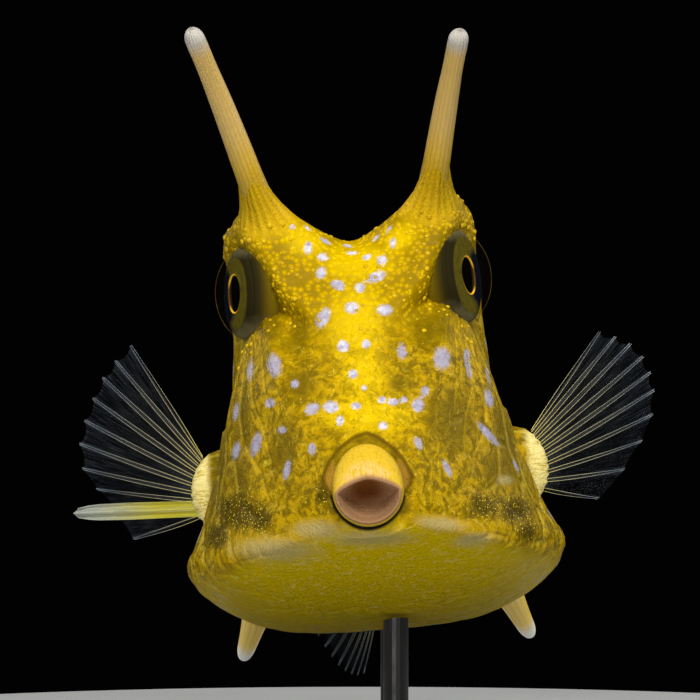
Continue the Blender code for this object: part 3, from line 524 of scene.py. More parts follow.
# Pale marks on the face, picked in the photograph's frame: pixel across, pixel down,
# half width, half height, turn in degrees.
FACE_MARKS = (
    (292, 227, 3.5, 3.0, 0), (307, 228, 5.0, 1.8, 38), (325, 241, 6.5, 2.2, 32), (348, 246, 5.5, 1.7, 12),
    (308, 248, 4.5, 6.5, 0), (323, 257, 6.0, 4.0, 0), (321, 273, 5.0, 6.5, 12), (352, 253, 6.0, 2.2, 0),
    (338, 285, 7.5, 5.0, 20), (352, 308, 7.0, 6.0, 0), (323, 318, 6.0, 11.0, 28), (343, 346, 6.0, 6.0, 0),
    (389, 229, 1.9, 5.5, 30), (376, 238, 5.5, 1.7, -42), (393, 243, 3.5, 6.0, 5), (367, 257, 5.0, 3.0, -20),
    (382, 260, 5.5, 5.0, 0), (376, 277, 10.0, 5.0, -22), (360, 288, 5.0, 5.0, 0), (385, 310, 8.0, 5.5, 0),
    (366, 344, 4.5, 4.5, 0), (402, 351, 5.0, 8.5, 0), (442, 358, 8.5, 11.5, 0), (467, 355, 3.8, 8.0, 0),
    (469, 370, 2.8, 9.0, -12), (488, 373, 2.4, 12.0, -10), (491, 336, 3.0, 14.0, -10),
    (250, 370, 4.2, 12.0, 4), (274, 365, 7.5, 12.0, -4), (270, 403, 5.5, 5.0, -15), (282, 430, 4.5, 4.0, 0),
    (256, 444, 5.0, 12.0, 15), (236, 451, 4.0, 9.0, 14), (236, 411, 3.0, 10.0, 10), (295, 384, 4.5, 4.5, 0),
    (312, 409, 7.5, 5.8, -25), (331, 407, 8.0, 6.0, 0), (340, 421, 4.0, 5.0, 0), (356, 406, 5.5, 4.0, 0),
    (353, 374, 4.8, 4.8, 0), (364, 388, 3.2, 3.2, 0), (312, 449, 4.3, 6.0, 0), (287, 470, 3.6, 10.0, 12),
    (382, 400, 4.8, 3.8, 0), (393, 402, 6.0, 4.0, 0), (404, 400, 3.6, 3.6, 0), (425, 391, 4.5, 5.0, 0),
    (418, 405, 6.0, 7.0, 10), (383, 426, 4.8, 4.0, 0), (418, 443, 4.0, 6.5, -25), (447, 468, 3.2, 9.0, -24),
    (489, 398, 4.0, 9.0, -14), (488, 434, 3.8, 15.0, -42), (516, 466, 1.8, 8.0, -25),
)
MARK_GROWTH = 1.12
NO_MARK = -8.0
PLATE_SPOT_REACH = 0.30
PLATE_SPOTS_FROM_Y = 27.0

# Where the fields start and end, in millimetres along or above the fish or in columns.
FRONT_HALF_Y = (52.0, 30.0)
TRUNK_Y = (22.0, 30.0)
GRANULES_Z = (24.0, 33.0)
BELLY_COLUMNS = (KEEL_COLUMN - 0.1, KEEL_COLUMN + 0.5)
MARKS_LAST_COLUMN = KEEL_COLUMN + 0.6

# Broad tones of the face, as soft ovals in the same frame.
# Painted light: brighter yellow where the light falls most, on the forehead and down the middle of the face.
PAINTED_LIGHT_OVALS = ((357, 262, 40, 24, 0), (356, 322, 30, 44, 0), (364, 372, 26, 30, 0), (368, 414, 44, 22, 0),
              (305, 240, 26, 16, 35), (400, 238, 22, 14, -35))
# Olive: partly the hide's own olive, partly painted shade in the hollows under the eyes and on the sides of
# the face turned from the light.
OLIVE_AND_SHADE_OVALS = ((284, 448, 17, 38, 8), (300, 385, 22, 22, 0), (452, 420, 30, 42, -10), (398, 383, 14, 10, 0),
               (271, 326, 15, 24, 0), (443, 322, 15, 22, 0), (330, 500, 12, 16, 0), (404, 505, 10, 16, 0),
               (240, 475, 14, 30, 0), (500, 470, 26, 30, -30), (300, 335, 14, 26, 0), (425, 330, 18, 26, 0),
               (216, 470, 14, 50, 8), (243, 420, 12, 44, 4), (505, 440, 14, 46, -14))
UMBER_OVALS = ((237, 512, 27, 21, 0), (260, 519, 14, 15, 0), (217, 537, 14, 17, 10), (484, 505, 20, 15, 8),
               (517, 511, 20, 17, 20), (528, 532, 13, 13, 30), (322, 494, 8, 12, 0))
CHIN_OVALS = ((370, 538, 50, 10, 0), (276, 550, 50, 15, 2), (318, 530, 30, 12, 0), (473, 540, 26, 9, -6),
              (440, 524, 30, 9, 8), (505, 480, 10, 6, 0))


def in_ovals(across, down, ovals, growth=1.0):
    """Largest value of 1 - (distance / reach) squared over a list of turned ovals."""
    best = np.full(across.shape, NO_MARK)
    for centre_x, centre_y, half_x, half_y, turn in ovals:
        c = math.cos(math.radians(turn))
        s = math.sin(math.radians(turn))
        off_x = (across - centre_x) * c + (down - centre_y) * s
        off_y = -(across - centre_x) * s + (down - centre_y) * c
        value = 1 - (off_x / (half_x * growth)) ** 2 - (off_y / (half_y * growth)) ** 2
        best = np.maximum(best, value)
    return best


def soft_ovals(across, down, ovals):
    return np.exp(np.minimum(in_ovals(across, down, ovals) - 1.0, 0.0) * 0.9)


pixel_x, pixel_y = pixels_of(box)
towards = placed(box) - np.array(eye_point)
towards = towards / np.linalg.norm(towards, axis=-1, keepdims=True)
world_normal = grid_normals(box) @ np.array(fish_to_world.to_3x3().normalized()).T
turned_here = -np.sum(world_normal * towards, axis=-1)
front_half = soft_step(box_y, *FRONT_HALF_Y)
facing = soft_step(turned_here, 0.0, 0.25) * front_half
seen = soft_step(turned_here, -0.05, 0.10) * front_half
trunk = soft_step(box_y, *TRUNK_Y)

plate_mark = 1 - (plate_reach / PLATE_SPOT_REACH) ** 2
face_mark = np.where(facing > 0.01, in_ovals(pixel_x, pixel_y, FACE_MARKS, MARK_GROWTH), NO_MARK)
mark = np.where(facing > 0.5, face_mark, np.where(box_y > PLATE_SPOTS_FROM_Y, plate_mark, NO_MARK))
mark = np.where(half_column > MARKS_LAST_COLUMN, NO_MARK, mark)
belly = soft_step(half_column, *BELLY_COLUMNS)
olive = soft_ovals(pixel_x, pixel_y, OLIVE_AND_SHADE_OVALS) * seen * (1 - belly)
olive = np.maximum(olive, 0.55 * trunk * (1 - seen) * (1 - belly))
umber = soft_ovals(pixel_x, pixel_y, UMBER_OVALS) * seen * (1 - 0.7 * belly)
granule = soft_step(box[..., 2], *GRANULES_Z) * (1 - trunk * 0.5)
for name, snout_value, values, stalk_value in (
    ("mark", NO_MARK, np.clip(mark, NO_MARK, 1.0), NO_MARK),
    ("painted_light", 0.5, soft_ovals(pixel_x, pixel_y, PAINTED_LIGHT_OVALS) * seen, 0.3),
    ("olive", 0.0, olive, 0.35),
    ("umber", 0.0, umber, 0.0),
    ("chin", 0.0, soft_ovals(pixel_x, pixel_y, CHIN_OVALS) * facing, 0.0),
    ("belly", 0.0, belly, 0.0),
    ("plate_edge", 3.0, np.where(plate_strength > 0.02, plate_edge, 3.0), 3.0),
    ("plate_share", 0.0, plate_strength, 0.0),
    ("granule", 0.0, granule, 0.0),
    ("lobe", 0.0, lobe_share, 0.0),
    ("slit", 0.0, np.clip(gill_share + nostril_share, 0.0, 1.0), 0.0),
    ("eye_ring", 9.0, np.clip(eye_distance, -2.0, 9.0), 9.0),
):
    store(skin, name, whole(snout_value, values, stalk_value))
store(skin, "place", skin_grid)

# The fold over the snout and the painted shadow under the lower lip, as smooth fields in the frame's pixels.
FOLD_CENTRE = (365.0, 478.0)
FOLD_REACH_ACROSS = (43.0, 48.0)
FOLD_REACH_DOWN = (45.8, 40.0)
FOLD_POWER = 1.5
SLIT_CENTRE = (367.8, 487.0)
SLIT_REACH = (37.8, 42.6)
THROAT_PIXEL = (366.0, 486.0)
THROAT_REACH = 27.0
LOWER_LIP_DOWN = (484.0, 496.0)
WING_ACROSS = (28.0, 33.0)
WING_DOWN = (452.0, 470.0)
OUTSIDE = 3.0
from_fold_x = pixel_x - FOLD_CENTRE[0]
from_fold_y = pixel_y - FOLD_CENTRE[1]
fold_x = np.abs(from_fold_x) / np.where(from_fold_x < 0, *FOLD_REACH_ACROSS)
fold_y = np.abs(from_fold_y) / np.where(from_fold_y < 0, *FOLD_REACH_DOWN)
fold = (fold_x ** FOLD_POWER + fold_y ** FOLD_POWER) ** (1 / FOLD_POWER)
fold = np.where(facing > 0.01, np.clip(fold, 0.0, OUTSIDE), OUTSIDE)
lower = soft_step(pixel_y, *LOWER_LIP_DOWN)
off_slit_x = (pixel_x - SLIT_CENTRE[0]) / SLIT_REACH[0]
off_slit_y = (pixel_y - SLIT_CENTRE[1]) / SLIT_REACH[1]
under_lip_shadow = np.hypot(off_slit_x, off_slit_y) + OUTSIDE * (1 - lower)
under_lip_shadow = np.where(facing > 0.01, np.clip(under_lip_shadow, 0.0, OUTSIDE), OUTSIDE)
wing = soft_step(fold, 1.0, 0.93) * soft_step(np.abs(from_fold_x), *WING_ACROSS)
wing = wing * soft_step(pixel_y, *WING_DOWN) * facing

# How far into the mouth each ring lies, its lower side, the crease below it and its throat.
gape = np.broadcast_to(snout_t[:, None], (SNOUT_ROWS, SKIN_COLUMNS))
low_side = 0.5 - 0.5 * np.cos(angle)
crease = swell(gape, 0.0, 0.75) * low_side ** 2
snout_x, snout_down = pixels_of(snout)
throat_x = (snout_x - THROAT_PIXEL[0]) / THROAT_REACH
throat = np.hypot(throat_x, (snout_down - THROAT_PIXEL[1]) / THROAT_REACH)
nowhere = np.zeros_like(box_y)
for name, snout_value, values, stalk_value in (
    ("fold", OUTSIDE, fold, OUTSIDE),
    ("under_lip_shadow", OUTSIDE, under_lip_shadow, OUTSIDE),
    ("wing", 0.0, wing, 0.0),
    ("gape", gape, nowhere, 0.0),
    ("crease", crease, nowhere, 0.0),
    ("low_side", low_side, nowhere, 0.0),
    ("throat", throat, nowhere + 9.0, 9.0),
):
    store(skin, name, whole(snout_value, values, stalk_value))

# Flute lines run down each horn and fan out over its root: place across and along its axis.
horn_plane = np.zeros(skin_grid.shape)
horn_plane[..., 0] = FAR_AWAY
for side, sign in SIGNS.items():
    base, direction = horn_axis(side)
    level, sideways = cross_axes(direction)
    offset = skin_grid - base
    local = np.stack((offset @ sideways, offset @ level, offset @ direction), axis=-1)
    on_side = skin_grid[..., 0] * sign > 0
    horn_plane = np.where(on_side[..., None], local, horn_plane)
store(skin, "horn_plane", horn_plane)


class Wire:
    """One output of a node. Arithmetic on it adds Math nodes."""

    def __init__(self, tree, socket=None):
        self.tree = tree
        self.socket = socket

    def node(self, kind, settings, sockets, output=0):
        """Add any node: its settings first, then the values or links of its sockets."""
        made = self.tree.nodes.new(kind)
        for name, value in settings.items():
            setattr(made, name, value)
        for key, value in sockets.items():
            if isinstance(value, Wire):
                self.tree.links.new(value.socket, made.inputs[key])
            else:
                made.inputs[key].default_value = value
        return Wire(self.tree, made.outputs[output])

    def maths(self, operation, *values):
        """A Math node on the values or, with none given, on this wire."""
        return self.node("ShaderNodeMath", {"operation": operation}, dict(enumerate(values or (self,))))

    def __add__(self, other):
        return self.maths("ADD", self, other)

    def __radd__(self, other):
        return self.maths("ADD", other, self)

    def __sub__(self, other):
        return self.maths("SUBTRACT", self, other)

    def __rsub__(self, other):
        return self.maths("SUBTRACT", other, self)

    def __mul__(self, other):
        return self.maths("MULTIPLY", self, other)

    def __rmul__(self, other):
        return self.maths("MULTIPLY", other, self)


def attribute(wire, name, output=2):
    return wire.node("ShaderNodeAttribute", {"attribute_name": name}, {}, output)


def between(value, low, high, start=0.0, end=1.0):
    """A smooth rise of value from low to high, given out as start to end."""
    return value.node("ShaderNodeMapRange", {"interpolation_type": "SMOOTHSTEP"},
                      {0: value, 1: low, 2: high, 3: start, 4: end})


def tinted(factor, under, over):
    """Two colours mixed; each is a wire or three numbers."""
    under = under if isinstance(under, Wire) else (*under, 1.0)
    over = over if isinstance(over, Wire) else (*over, 1.0)
    return factor.node("ShaderNodeMix", {"data_type": "RGBA"}, {0: factor, 6: under, 7: over}, 2)


def layered(colour, *layers):
    """Tints laid over a colour in turn, each a factor and a colour."""
    for factor, over in layers:
        colour = tinted(factor, colour, over)
    return colour


def noise(vector, scale, detail=2.0, rough=0.5, output=0):
    return vector.node("ShaderNodeTexNoise", {},
                       {"Vector": vector, "Scale": scale, "Detail": detail, "Roughness": rough}, output)


def cells(vector, scale):
    return vector.node("ShaderNodeTexVoronoi", {}, {"Vector": vector, "Scale": scale})


def stretched(vector, factors):
    return vector.node("ShaderNodeVectorMath", {"operation": "MULTIPLY"}, {0: vector, 1: factors})


def parts_of(vector, count=3):
    return [vector.node("ShaderNodeSeparateXYZ", {}, {0: vector}, part) for part in range(count)]


def object_point(start):
    return start.node("ShaderNodeTexCoord", {}, {}, 3)


def new_finish(name, constants):
    """A material with constant numbers on its shader: material, shader and a wire to start from."""
    finish = bpy.data.materials.new(name)
    finish.use_nodes = True
    shader = finish.node_tree.nodes["Principled BSDF"]
    for socket, value in constants.items():
        shader.inputs[socket].default_value = value
    return finish, shader, Wire(finish.node_tree)


def feed(shader, socket, wire):
    wire.tree.links.new(wire.socket, shader.inputs[socket])


def bumped(shader, height, distance):
    """Relief from a height in millimetres times distance."""
    normal = height.node("ShaderNodeBump", {}, {"Strength": 1.0, "Distance": distance * MM,
                                                 "Height": height})
    feed(shader, "Normal", normal)


# Colours of the hide, linear.
GOLD = (0.56, 0.35, 0.0)
BRIGHT_YELLOW = (0.85, 0.58, 0.0)
OLIVE = (0.17, 0.11, 0.0)
UMBER = (0.060, 0.038, 0.0)
CHIN_GREY = (0.47, 0.39, 0.17)
BELLY_YELLOW = (0.64, 0.47, 0.0)
BELLY_PALE = (0.80, 0.62, 0.20)
PALE_BLUE = (0.72, 0.72, 0.88)
SHADED_MARK_BLUE = (0.46, 0.46, 0.64)
LILAC = (0.38, 0.34, 0.50)
SPARK = (0.90, 0.72, 0.07)
LIP_YELLOW = (0.80, 0.52, 0.03)
LIP_PINK = (0.36, 0.20, 0.10)
LIP_PALE_AND_HIGHLIGHT = (0.90, 0.58, 0.22)
THROAT_SHADE_BROWN = (0.15, 0.050, 0.010)
FOLD_SHADE_BROWN = (0.12, 0.065, 0.0)
WING_TAN = (0.36, 0.19, 0.02)
PAINTED_SHADE_BLACK = (0.012, 0.009, 0.004)
LOBE_CREAM = (0.98, 0.84, 0.32)
HORN_GOLD = (0.74, 0.47, 0.01)
ROOT_PAINTED_SHADE = (0.56, 0.35, 0.006)

skin_finish, shader, start = new_finish("hide", {"Specular IOR Level": 0.08, "IOR": 1.35})
place = attribute(start, "place", 1)
broad = noise(place, 0.22, 3.0, 0.6)
middle = noise(place, 0.9, 3.0, 0.6)
fine = noise(place, 3.6, 2.0, 0.6)
warp = noise(place, 0.55, output=1)
warped = place.node("ShaderNodeVectorMath", {"operation": "MULTIPLY_ADD"},
                    {0: warp, 1: (2.2, 2.2, 2.2), 2: place})
painted_light, olive, umber, chin, belly, lobe, bony, share, edge = (
    attribute(start, name)
    for name in ("painted_light", "olive", "umber", "chin", "belly", "lobe", "granule", "plate_share", "plate_edge")
)
across, level, along = parts_of(attribute(start, "horn_plane", 1))
root_radius = (across * across + level * level).maths("SQRT")
root = between(root_radius + (middle - 0.5) * 0.8, 4.2, 2.3) * between(along, -6.5, -3.0)
turn = across.maths("ARCTAN2", level, across)
flute = (turn * HORN_FLUTES + noise(place, 0.8) * 2.0).maths("SINE")
granule = bony * (1 - root)
uneven = middle - 0.5

# The base: gold, turned bright yellow by painted light on the lit middle of the face.
colour = layered(
    tinted(between(painted_light + (broad - 0.5) * 0.7, 0.15, 0.85), GOLD, BRIGHT_YELLOW),
    (between(belly, 0.0, 1.0) * 0.9, BELLY_YELLOW),
    (between(noise(place, 1.1, 4.0, 0.7), 0.50, 0.68) * belly * 0.45, BELLY_PALE),
    (between(olive + uneven * 0.9, 0.25, 1.15) * 0.85, OLIVE),
)

# Granules: bright dots with darker gaps over brow and forehead.
dots = cells(place, 1.5)
colour = layered(
    colour,
    (between(dots, 0.34, 0.62) * granule * (0.66 - painted_light * 0.5), OLIVE),
    (between(dots, 0.32, 0.12) * granule * (0.6 - olive * 0.5), BRIGHT_YELLOW),
)

# Cheeks: olive mottling with fine bright strokes that run down the face, and the plates' seams.
cheek = (1 - bony) * (1 - belly) * between(chin, 0.05, 0.6, 1.0, 0.2)
strokes = noise(stretched(warped, (1.0, 1.0, 0.38)), 2.6, 3.0, 0.65)
seam = between(edge, 0.38, 0.05) * share
colour = layered(
    colour,
    (between(noise(warped, 1.0, 4.0, 0.62), 0.64, 0.36) * cheek * (0.92 - painted_light * 0.70), OLIVE),
    (between(strokes, 0.56, 0.70) * cheek * between(middle, 0.40, 0.60) * 0.62, SPARK),
    (between(strokes, 0.44, 0.34) * cheek * 0.45, OLIVE),
    # The olive ovals laid on once more, with their painted shade.
    (between(olive, 0.40, 0.95) * 0.40, OLIVE),
    (seam * 0.68, OLIVE),
    (between(edge, 0.9, 0.45) * between(edge, 0.2, 0.45) * share * 0.35, SPARK),
)

# Dark corners strewn with fine yellow dots, and the pale chin.
specks = cells(place, 3.1)
colour = layered(
    colour,
    (between(umber + (fine - 0.5) * 0.5 + uneven * 0.5, 0.20, 0.90) * 0.88, UMBER),
    (between(specks, 0.30, 0.12) * between(umber, 0.2, 0.6), SPARK),
    (between(chin + uneven * 0.5, 0.25, 1.05) * 0.78, CHIN_GREY),
)

# Pale blue marks with ragged edges and a lilac cast, and the creamy fibres of the fin lobes.
mark = attribute(start, "mark") + (fine - 0.5) * 1.3 + (noise(place, 7.5) - 0.5) * 1.3
# Outside the painted light the marks are a darker blue and a little fainter: painted shade.
mark_colour = tinted(between(painted_light, 0.15, 0.60), SHADED_MARK_BLUE, PALE_BLUE)
mark_colour = tinted(between(noise(place, 1.3), 0.40, 0.62) * 0.8, mark_colour, LILAC)
fibres = noise(stretched(place, (0.5, 0.5, 3.2)), 1.4, 3.0, 0.6)
colour = layered(
    colour,
    (between(mark, -0.20, 0.70) * between(painted_light, 0.05, 0.50, 0.86, 1.0), mark_colour),
    (between(lobe, 0.25, 0.95), LOBE_CREAM),
    (between(fibres, 0.52, 0.36) * lobe * 0.75, GOLD),
)

# Snout and mouth: yellow lips, pink within, painted shade deep in the throat and painted black shade round
# the root.
gape, low_side, throat, wing, under_lip_shadow, crease, slit, ring = (
    attribute(start, name)
    for name in ("gape", "low_side", "throat", "wing", "under_lip_shadow", "crease", "slit", "eye_ring")
)
fold = attribute(start, "fold") + uneven * 0.05
lip_lines = noise(stretched(place, (4.5, 1.2, 1.0)), 1.1, 3.0)
lip_patch = between(throat + uneven * 0.3, 1.15, 0.75) * between(gape, 3.6, 4.8) * (1 - low_side)
colour = layered(
    colour,
    (between(fold, 1.02, 0.94) * 0.5, OLIVE),
    (between(wing, 0.2, 0.8) * 0.8, WING_TAN),
    # Painted shade: a brown line in the crease of the fold.
    (between(fold, 0.88, 0.97) * between(fold, 1.06, 0.99) * 0.85, FOLD_SHADE_BROWN),
    (between(gape, 0.6, 1.4), LIP_YELLOW),
    # Pale streaks over the top of the upper lip: part its pale colour, part painted highlight.
    (lip_patch * between(lip_lines, 0.35, 0.60) * 0.8, LIP_PALE_AND_HIGHLIGHT),
    (between(lip_lines, 0.50, 0.34) * between(gape, 1.0, 2.0) * 0.35, GOLD),
    (between(gape, 2.2, 1.0) * between(gape, 0.0, 0.5) * 0.7, OLIVE),
    (between(gape, 5.3 - low_side * 0.9, 6.2 - low_side * 0.5), LIP_PINK),
    (between(throat, 1.05, 0.25) * between(gape, 6.0, 7.2), THROAT_SHADE_BROWN),
    # Painted shade in black: the shadow under the lower lip, the crease round the snout's root, the gill
    # slits and the nostrils.
    (between(under_lip_shadow, 1.07, 0.99), PAINTED_SHADE_BLACK),
    (between(crease, 0.35, 0.9), PAINTED_SHADE_BLACK),
    (between(slit, 0.25, 0.7) * 0.95, PAINTED_SHADE_BLACK),
)

# Dusky olive ring round each eye, painted shade where the skin turns in to the socket, and the golden fluted
# horn roots.
colour = layered(
    colour,
    (between(ring, 0.9, 0.1) * 0.45, OLIVE),
    (root, HORN_GOLD),
    # Painted shade on the root close round the shaft.
    (between(root_radius, 2.7, 1.6) * root * 0.7, ROOT_PAINTED_SHADE),
    (between(flute, 0.1, 0.9) * root * 0.26, OLIVE),
)
feed(shader, "Base Color", colour)
feed(shader, "Roughness", between(middle, 0.3, 0.7, 0.36, 0.55))
relief = between(dots, 0.55, 0.05) * granule * 0.9 + fine * 0.35 + middle * 0.5
relief = relief + strokes * (1 - granule) * 0.6 + flute * root * 0.35
relief = relief + between(specks, 0.40, 0.05) * (1 - granule) * 0.25 - seam * 0.4
bumped(shader, relief, 0.16)
skin.data.materials.append(skin_finish)
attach(skin, "root")
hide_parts("head", "torso", "tail_peduncle", "mouth", "pectoral_base_left", "pectoral_base_right")

# Horns: slender blunt rods of bone under thin skin, golden at the root, tan along the shaft
# and greyish white at the small round knob. Fine flutes run along them. Rings of a turned tube.
HORN_RADII = (1.58, 1.44, 1.38, 1.32, 1.26, 1.20, 1.13, 1.06, 1.04, 1.04, 1.00)
HORN_BOW = 0.7
HORN_POINT_PACKING = 0.92
HORN_ROW_PACKING = 1.25
HORN_ROUND_END = 0.075
HORN_ROWS = 150
HORN_FLUTE_DEPTH = 0.045
HORN_SUNK = ((-3.0, 1.38), (-2.0, 1.42), (-1.0, 1.46))
HORN_TAN = (0.80, 0.54, 0.15)
HORN_WHITE = (0.66, 0.62, 0.56)
ROD_SIDES = 72
POINT_RADIUS = 0.02

horn_finish, shader, start = new_finish("horn", {"Coat Weight": 0.2, "Coat Roughness": 0.25})
far = attribute(start, "far")
stripe = attribute(start, "stripe")
middle = noise(attribute(start, "place", 1), 1.6, 3.0, 0.6)
uneven_far = far + (middle - 0.5) * 0.1
colour = layered(
    # The shaft's foot starts in the same painted shade as the root.
    tinted(between(uneven_far, 0.02, 0.22), ROOT_PAINTED_SHADE, HORN_GOLD),
    (between(uneven_far, 0.10, 0.42), HORN_TAN),
    (between(stripe, 0.1, 0.9) * between(far, 0.95, 0.0, 0.10, 0.30), OLIVE),
    (between(far, 0.82, 0.95), HORN_WHITE),
)
feed(shader, "Base Color", colour)
feed(shader, "Roughness", between(middle, 0.3, 0.7, 0.38, 0.55))
bumped(shader, stripe * 0.3 + middle * 0.5, 0.10)

rod_angle = 2 * math.pi * np.arange(ROD_SIDES) / ROD_SIDES


def turned_rod(name, direction, rows, flutes):
    """A closed rod from rows of (centre, radius or radii round it, share of its length)."""
    level, sideways = cross_axes(direction)
    grid = np.array([
        centre + np.outer(np.sin(rod_angle) * radius, sideways) + np.outer(np.cos(rod_angle) * radius, level)
        for centre, radius, _ in rows
    ])
    result = ring_mesh(name, grid)
    store(result, "place", grid)
    store(result, "far", np.repeat([row[2] for row in rows], ROD_SIDES))
    store(result, "stripe", np.tile(np.cos(flutes * rod_angle), len(rows)))
    return result


def rounded(radius, far_share, round_end):
    """The radius near a tip that closes as a dome over its last share, round_end."""
    over = max(0.0, (far_share - 1 + round_end) / round_end)
    return float(radius) * math.sqrt(max(0.0, 1 - over ** 2)) + POINT_RADIUS


horn_radius = even_line(HORN_RADII, 1.0)
flutes = np.cos(HORN_FLUTES * rod_angle)
flutes = 0.5 + 0.5 * np.sign(flutes) * np.abs(flutes) ** 0.7
for side in SIGNS:
    base, direction = horn_axis(side)
    bow = cross_axes(direction)[0] * HORN_BOW
    rows = [(base + direction * depth, radius, 0.0) for depth, radius in HORN_SUNK]
    for row in range(HORN_ROWS):
        far_share = 1 - (1 - row / (HORN_ROWS - 1)) ** HORN_ROW_PACKING
        centre = base + (HORN_TIPS[side] - base) * far_share ** HORN_POINT_PACKING
        centre = centre + bow * math.sin(math.pi * far_share)
        radius = rounded(horn_radius(far_share), far_share, HORN_ROUND_END)
        depth = HORN_FLUTE_DEPTH * soft_step(far_share, 0.9, 0.6)
        rows.append((centre, radius - depth * flutes, far_share))
    horn = turned_rod("horn_shaft_" + side, direction, rows, HORN_FLUTES)
    horn.data.materials.append(horn_finish)
    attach(horn, "root")
    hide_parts("horn_" + side)

# Eyes: a dark ball cut off by a flat iris with a gold pupil ring, under a clear wet dome.
# Each is turned sideways and a little forward, as in life. The ball and dome share one ellipsoid.
IRIS_PLACES = {"left": (2.55, 3.6), "right": (2.95, 3.2)}
SHOULDER_DROP = 0.75
PUPIL_RADIUS = 2.0
EYE_ROWS = 64
EYE_SIDES = 96
IRIS_ROWS = 26
SHOULDER_ROWS = 10
DOME_ROWS = 80
POLE_GAP = 0.02
RING_BULGE = 0.12
RING_BULGE_WIDTH = 0.13
PUPIL_HOLLOW = 0.35
BALL_SCALE = 0.97
EYE_OLIVE = (0.16, 0.11, 0.004)
EYE_NAVY = (0.004, 0.006, 0.014)
PUPIL_BLACK = (0.0004, 0.0004, 0.0008)
EYE_GOLD = (0.95, 0.52, 0.02)
EYE_BRONZE = (0.16, 0.06, 0.004)
EYE_HAZE = (0.15, 0.13, 0.06)
EYE_WALL = (0.022, 0.018, 0.006)
EYE_IRIS = (0.115, 0.092, 0.009)

eye_finish, shader, start = new_finish("eye", {"Roughness": 0.55, "IOR": 1.0})
place = attribute(start, "eye_place", 1)
radial, height, depth = parts_of(place)
pupil_reach = (radial * radial * 1.12 + height * height).maths("SQRT")
side_noise = noise(place, 1.4, 3.0, 0.6)
high = height.maths("ABSOLUTE")
uneven_high = high + (side_noise - 0.5) * 1.2
upright = between(uneven_high - radial * 0.7, 0.8, 2.4)
on_ring = between(pupil_reach, PUPIL_RADIUS + 0.20, PUPIL_RADIUS + 0.10)
on_ring = on_ring * between(pupil_reach, PUPIL_RADIUS - 0.06, PUPIL_RADIUS + 0.02)
in_pupil = between(pupil_reach, PUPIL_RADIUS + 0.02, PUPIL_RADIUS - 0.06) * between(depth, -1.2, -0.8)
iris_colour = layered(
    tinted(upright * between(side_noise, 0.2, 0.6, 0.5, 1.0), EYE_NAVY, EYE_IRIS),
    (on_ring, tinted(between(high, 0.8, 1.7), EYE_BRONZE, EYE_GOLD)),
)
colour = layered(
    tinted(between(depth, -0.8, -2.8), EYE_WALL, EYE_OLIVE),
    (between(uneven_high, 2.9, 4.9) * 0.9, EYE_HAZE),
    (between(depth, -0.10, -0.02), iris_colour),
    (in_pupil, PUPIL_BLACK),
)
feed(shader, "Base Color", colour)

# The dome is clear; the gold it turns where seen edge-on is painted light along its rim.
dome_finish, shader, start = new_finish("eye_dome", {
    "Base Color": (0.98, 0.62, 0.14, 1.0), "Roughness": 0.04, "Specular IOR Level": 0.6,
})
facing_edge = start.node("ShaderNodeLayerWeight", {}, {"Blend": 0.5}, 1)
feed(shader, "Alpha", between(facing_edge, 0.87, 0.975, 0.0015, 0.95))

for side, sign in SIGNS.items():
    centre = mirrored(EYE_CENTRE, side)
    outward = mirrored(EYE_OUTWARD, side)
    backward = np.array((sign * math.cos(EYE_TURN), math.sin(EYE_TURN), 0.0))
    upward = np.array((0.0, 0.0, 1.0))
    ring_angle = 2 * math.pi * np.arange(EYE_SIDES) / EYE_SIDES
    around = np.outer(np.cos(ring_angle), upward) + np.outer(np.sin(ring_angle), backward * sign)

    def ball_ring(latitude, scale):
        """One ring of the ellipsoid about the outward axis, in the fish frame."""
        unit = math.cos(latitude) * outward[None, :] + math.sin(latitude) * around
        return centre + unit * EYE_RADII * scale

    def depth_of(ring):
        return (ring - centre) @ outward

    iris_depth, iris_radius = IRIS_PLACES[side]
    cut = 0.0
    while depth_of(ball_ring(cut, BALL_SCALE)).mean() > iris_depth - SHOULDER_DROP:
        cut += 0.002
    edge_ring = ball_ring(cut, BALL_SCALE)
    flat = edge_ring - centre - np.outer(depth_of(edge_ring), outward)
    iris_share = iris_radius / np.linalg.norm(flat, axis=1).mean()
    rings = []
    for row in range(IRIS_ROWS):
        spread = iris_share * (0.02 + 0.98 * row / (IRIS_ROWS - 1))
        ring = centre + outward * iris_depth + flat * spread
        reach_here = np.linalg.norm(flat * spread, axis=1)
        bulge = RING_BULGE * swell(reach_here, PUPIL_RADIUS + 0.1, RING_BULGE_WIDTH)
        hollow = -PUPIL_HOLLOW * soft_step(reach_here, PUPIL_RADIUS + 0.05, PUPIL_RADIUS - 0.2)
        rings.append(ring + np.outer(bulge + hollow, outward))
    for row in range(1, SHOULDER_ROWS):
        t = row / SHOULDER_ROWS * math.pi / 2
        depth = iris_depth - SHOULDER_DROP * (1 - math.cos(t))
        spread = iris_share + (1 - iris_share) * math.sin(t)
        rings.append(centre + outward * depth + flat * spread)
    for row in range(EYE_ROWS):
        latitude = cut + (math.pi - POLE_GAP - cut) * row / (EYE_ROWS - 1)
        rings.append(ball_ring(latitude, BALL_SCALE))
    grid = np.array(rings)
    ball = ring_mesh("eye_ball_" + side, grid)
    local = np.stack(((grid - centre) @ backward, (grid - centre) @ upward,
                      (grid - centre) @ outward - iris_depth), axis=-1)
    store(ball, "eye_place", local)
    ball.data.materials.append(eye_finish)
    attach(ball, "root")
    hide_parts("eye_" + side)

    latitudes = np.linspace(POLE_GAP, math.pi - POLE_GAP, DOME_ROWS)
    dome = ring_mesh("eye_dome_" + side, np.array([ball_ring(latitude, 1.0) for latitude in latitudes]))
    dome.data.materials.append(dome_finish)
    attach(dome, "root")

